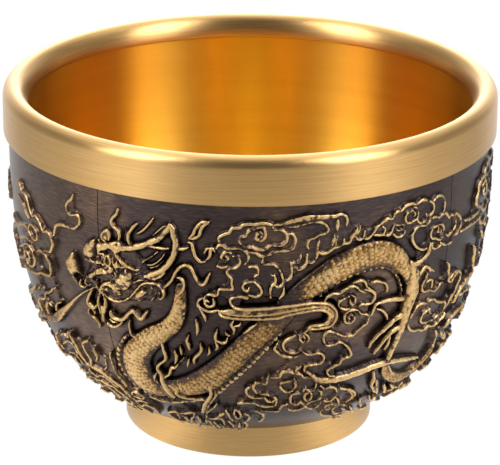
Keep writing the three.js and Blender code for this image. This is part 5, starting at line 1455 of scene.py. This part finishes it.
camera_data = bpy.data.cameras.new("photo_camera")
camera = bpy.data.objects.new("photo_camera", camera_data)
bpy.context.collection.objects.link(camera)
camera_data.sensor_width = SENSOR_WIDTH
camera_data.lens = SENSOR_WIDTH * FOCAL_PIXELS / PHOTO_WIDTH
camera_data.shift_x = SHIFT_ACROSS / PHOTO_WIDTH
camera_data.shift_y = SHIFT_UP / PHOTO_WIDTH
camera_data.clip_start = 0.01
tilt = Matrix.Rotation(math.pi / 2 - CAMERA_RISE, 4, "X") @ Matrix.Rotation(CAMERA_ROLL, 4, "Z")
back_from_cup = -CAMERA_DISTANCE * math.cos(CAMERA_RISE)
camera_height = AIM_HEIGHT + CAMERA_DISTANCE * math.sin(CAMERA_RISE)
camera.matrix_world = Matrix.Translation((0, back_from_cup, camera_height)) @ tilt
bpy.context.scene.camera = camera
bpy.context.scene.view_settings.view_transform = "Standard"

# Brightness of the sheet's painted pools of light, seen in reflections, and of the room, as half of their
# strength, from the camera's side (0) to the back (1)
FLOOR_LIGHT = [(0.0, 0.33), (0.13, 0.35), (0.2, 0.5), (0.26, 0.7), (0.36, 0.6), (0.46, 0.42), (0.65, 0.31)]
FLOOR_LIGHT += [(0.85, 0.5), (1.0, 0.5)]
ROOM_LIGHT = [(0.0, 0.06), (0.13, 0.07), (0.2, 0.15), (0.6, 0.17), (0.72, 0.2), (0.8, 0.36), (0.9, 0.65)]
ROOM_LIGHT += [(0.97, 1.5), (1.0, 1.7)]
CEILING_FRONT = 0.05
CEILING_BACK = 0.85
FLOOR_RADIUS = 3
FLOOR_DROP = 0.0002
# The soft boxes' turns from the camera's side in degrees, and their places and sizes in metres
LEFT_LAMP = -59
RIGHT_LAMP = 55
LAMP_DISTANCE = 0.5
LAMP_MIDDLE = 0.52
LAMP_AIM = 0.3
LAMP_WIDTH = 0.28
LAMP_HEIGHT = 0.6
LAMP_POWER = 3.2


def split_round(tree, place):
    """The place by x, y and z, and how far round it lies: from 0 on the camera's side to 1 behind."""
    split = add_node(tree, "ShaderNodeSeparateXYZ", {0: place}).outputs
    side = add_node(tree, "ShaderNodeMath", {0: split["X"]}, operation="ABSOLUTE").outputs[0]
    ahead = add_node(tree, "ShaderNodeMath", {0: split["Y"], 1: -1.0}, operation="MULTIPLY").outputs[0]
    turn = add_node(tree, "ShaderNodeMath", {0: side, 1: ahead}, operation="ARCTAN2").outputs[0]
    share = add_node(tree, "ShaderNodeMath", {0: turn, 1: math.pi}, operation="DIVIDE").outputs[0]
    return split, share


# Floor: a plain pale round sheet
deselect_all()
drop = (0, 0, -FLOOR_DROP)
bpy.ops.mesh.primitive_circle_add(vertices=64, radius=FLOOR_RADIUS, fill_type="NGON", location=drop)
floor = bpy.context.object
floor.name = "pale_floor"
bpy.ops.object.transform_apply(location=True, rotation=False, scale=False)
paper, sheet, paper_shader = new_material("white_paper_sweep", {"Roughness": 0.9})
paper_shader.inputs["Base Color"].default_value = colour("#F4F4F4")
# Seen straight the paper is plain white, in a reflection it glows with painted pools of light, and it still
# takes a shadow as a tint
rays = add_node(sheet, "ShaderNodeLightPath").outputs
straight = rays["Is Camera Ray"]
seen = add_node(sheet, "ShaderNodeMath", {0: straight, 1: rays["Is Glossy Ray"]}, operation="MAXIMUM")
through = {0: seen.outputs[0], 1: rays["Is Transmission Ray"]}
seen_too = add_node(sheet, "ShaderNodeMath", through, operation="MAXIMUM")
# In reflections the sheet glows brightest towards the lamps, as painted pools of light, and the brass shows
# that as soft bands of light
place = add_node(sheet, "ShaderNodeTexCoord").outputs["Object"]
painted_light_pools = add_node(sheet, "ShaderNodeValToRGB", {0: split_round(sheet, place)[1]}, FLOOR_LIGHT).outputs[0]
painted_pool_glow = add_node(sheet, "ShaderNodeMath", {0: painted_light_pools, 1: 2.0}, operation="MULTIPLY").outputs[0]
strengths = {"Factor": straight, "A": painted_pool_glow, "B": 1.0}
strength = add_node(sheet, "ShaderNodeMix", strengths, data_type="FLOAT").outputs[0]
white = add_node(sheet, "ShaderNodeEmission", {"Color": (1, 1, 1, 1), "Strength": strength})
paper_and_light = {0: seen_too.outputs[0], 1: paper_shader.outputs[0], 2: white.outputs[0]}
mix = add_node(sheet, "ShaderNodeMixShader", paper_and_light)
paper_output = [node for node in sheet.nodes if node.type == "OUTPUT_MATERIAL"][0]
sheet.links.new(mix.outputs[0], paper_output.inputs[0])
floor.data.materials.append(paper)

# Two tall soft boxes stand on the table, to the left and right of the camera
for degrees, lamp_name in ((LEFT_LAMP, "left_soft_box"), (RIGHT_LAMP, "right_soft_box")):
    light = bpy.data.lights.new(lamp_name, "AREA")
    light.shape = "RECTANGLE"
    light.size = LAMP_WIDTH
    light.size_y = LAMP_HEIGHT
    light.energy = LAMP_POWER
    lamp = bpy.data.objects.new(lamp_name, light)
    bpy.context.collection.objects.link(lamp)
    lamp_turn = math.radians(degrees)
    stand = (LAMP_DISTANCE * math.sin(lamp_turn), -LAMP_DISTANCE * math.cos(lamp_turn), LAMP_MIDDLE)
    away = Vector(stand) - Vector((0, 0, LAMP_AIM))
    lamp.matrix_world = Matrix.Translation(stand) @ away.to_track_quat("Z", "Y").to_matrix().to_4x4()

# The room: dark behind the camera and overhead, dim at the sides, and a bright wall behind the cup
world = bpy.data.worlds.new("pale_studio")
bpy.context.scene.world = world
world.use_nodes = True
sky = world.node_tree
sky.nodes.clear()
camera_ray = add_node(sky, "ShaderNodeLightPath").outputs["Is Camera Ray"]
direction = add_node(sky, "ShaderNodeTexCoord").outputs["Generated"]
split, share = split_round(sky, direction)
walls = add_node(sky, "ShaderNodeValToRGB", {0: share}, ROOM_LIGHT).outputs[0]
up_there = {0: split["Z"], 1: 0.55, 2: 0.9, 3: 0.0, 4: 1.0}
overhead = add_node(sky, "ShaderNodeMapRange", up_there, clamp=True).outputs[0]
front_to_back = {0: split["Y"], 1: -0.3, 2: 0.3, 3: CEILING_FRONT, 4: CEILING_BACK}
ceiling = add_node(sky, "ShaderNodeMapRange", front_to_back, clamp=True).outputs[0]
light_mix = {"Factor": overhead, 6: walls, 7: ceiling}
room_light = add_node(sky, "ShaderNodeMix", light_mix, data_type="RGBA").outputs[2]
plain = add_node(sky, "ShaderNodeBackground", {"Color": (1, 1, 1, 1), "Strength": 1.0})
room = add_node(sky, "ShaderNodeBackground", {"Color": room_light, "Strength": 2.0})
choice = {0: camera_ray, 1: room.outputs[0], 2: plain.outputs[0]}
choose = add_node(sky, "ShaderNodeMixShader", choice)
out = add_node(sky, "ShaderNodeOutputWorld")
sky.links.new(choose.outputs[0], out.inputs[0])

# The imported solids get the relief's or the rim's brass
for node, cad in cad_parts.items():
    cad.data.materials.clear()
    cad.data.materials.append(relief_brass if node.startswith("relief") else rim_brass)
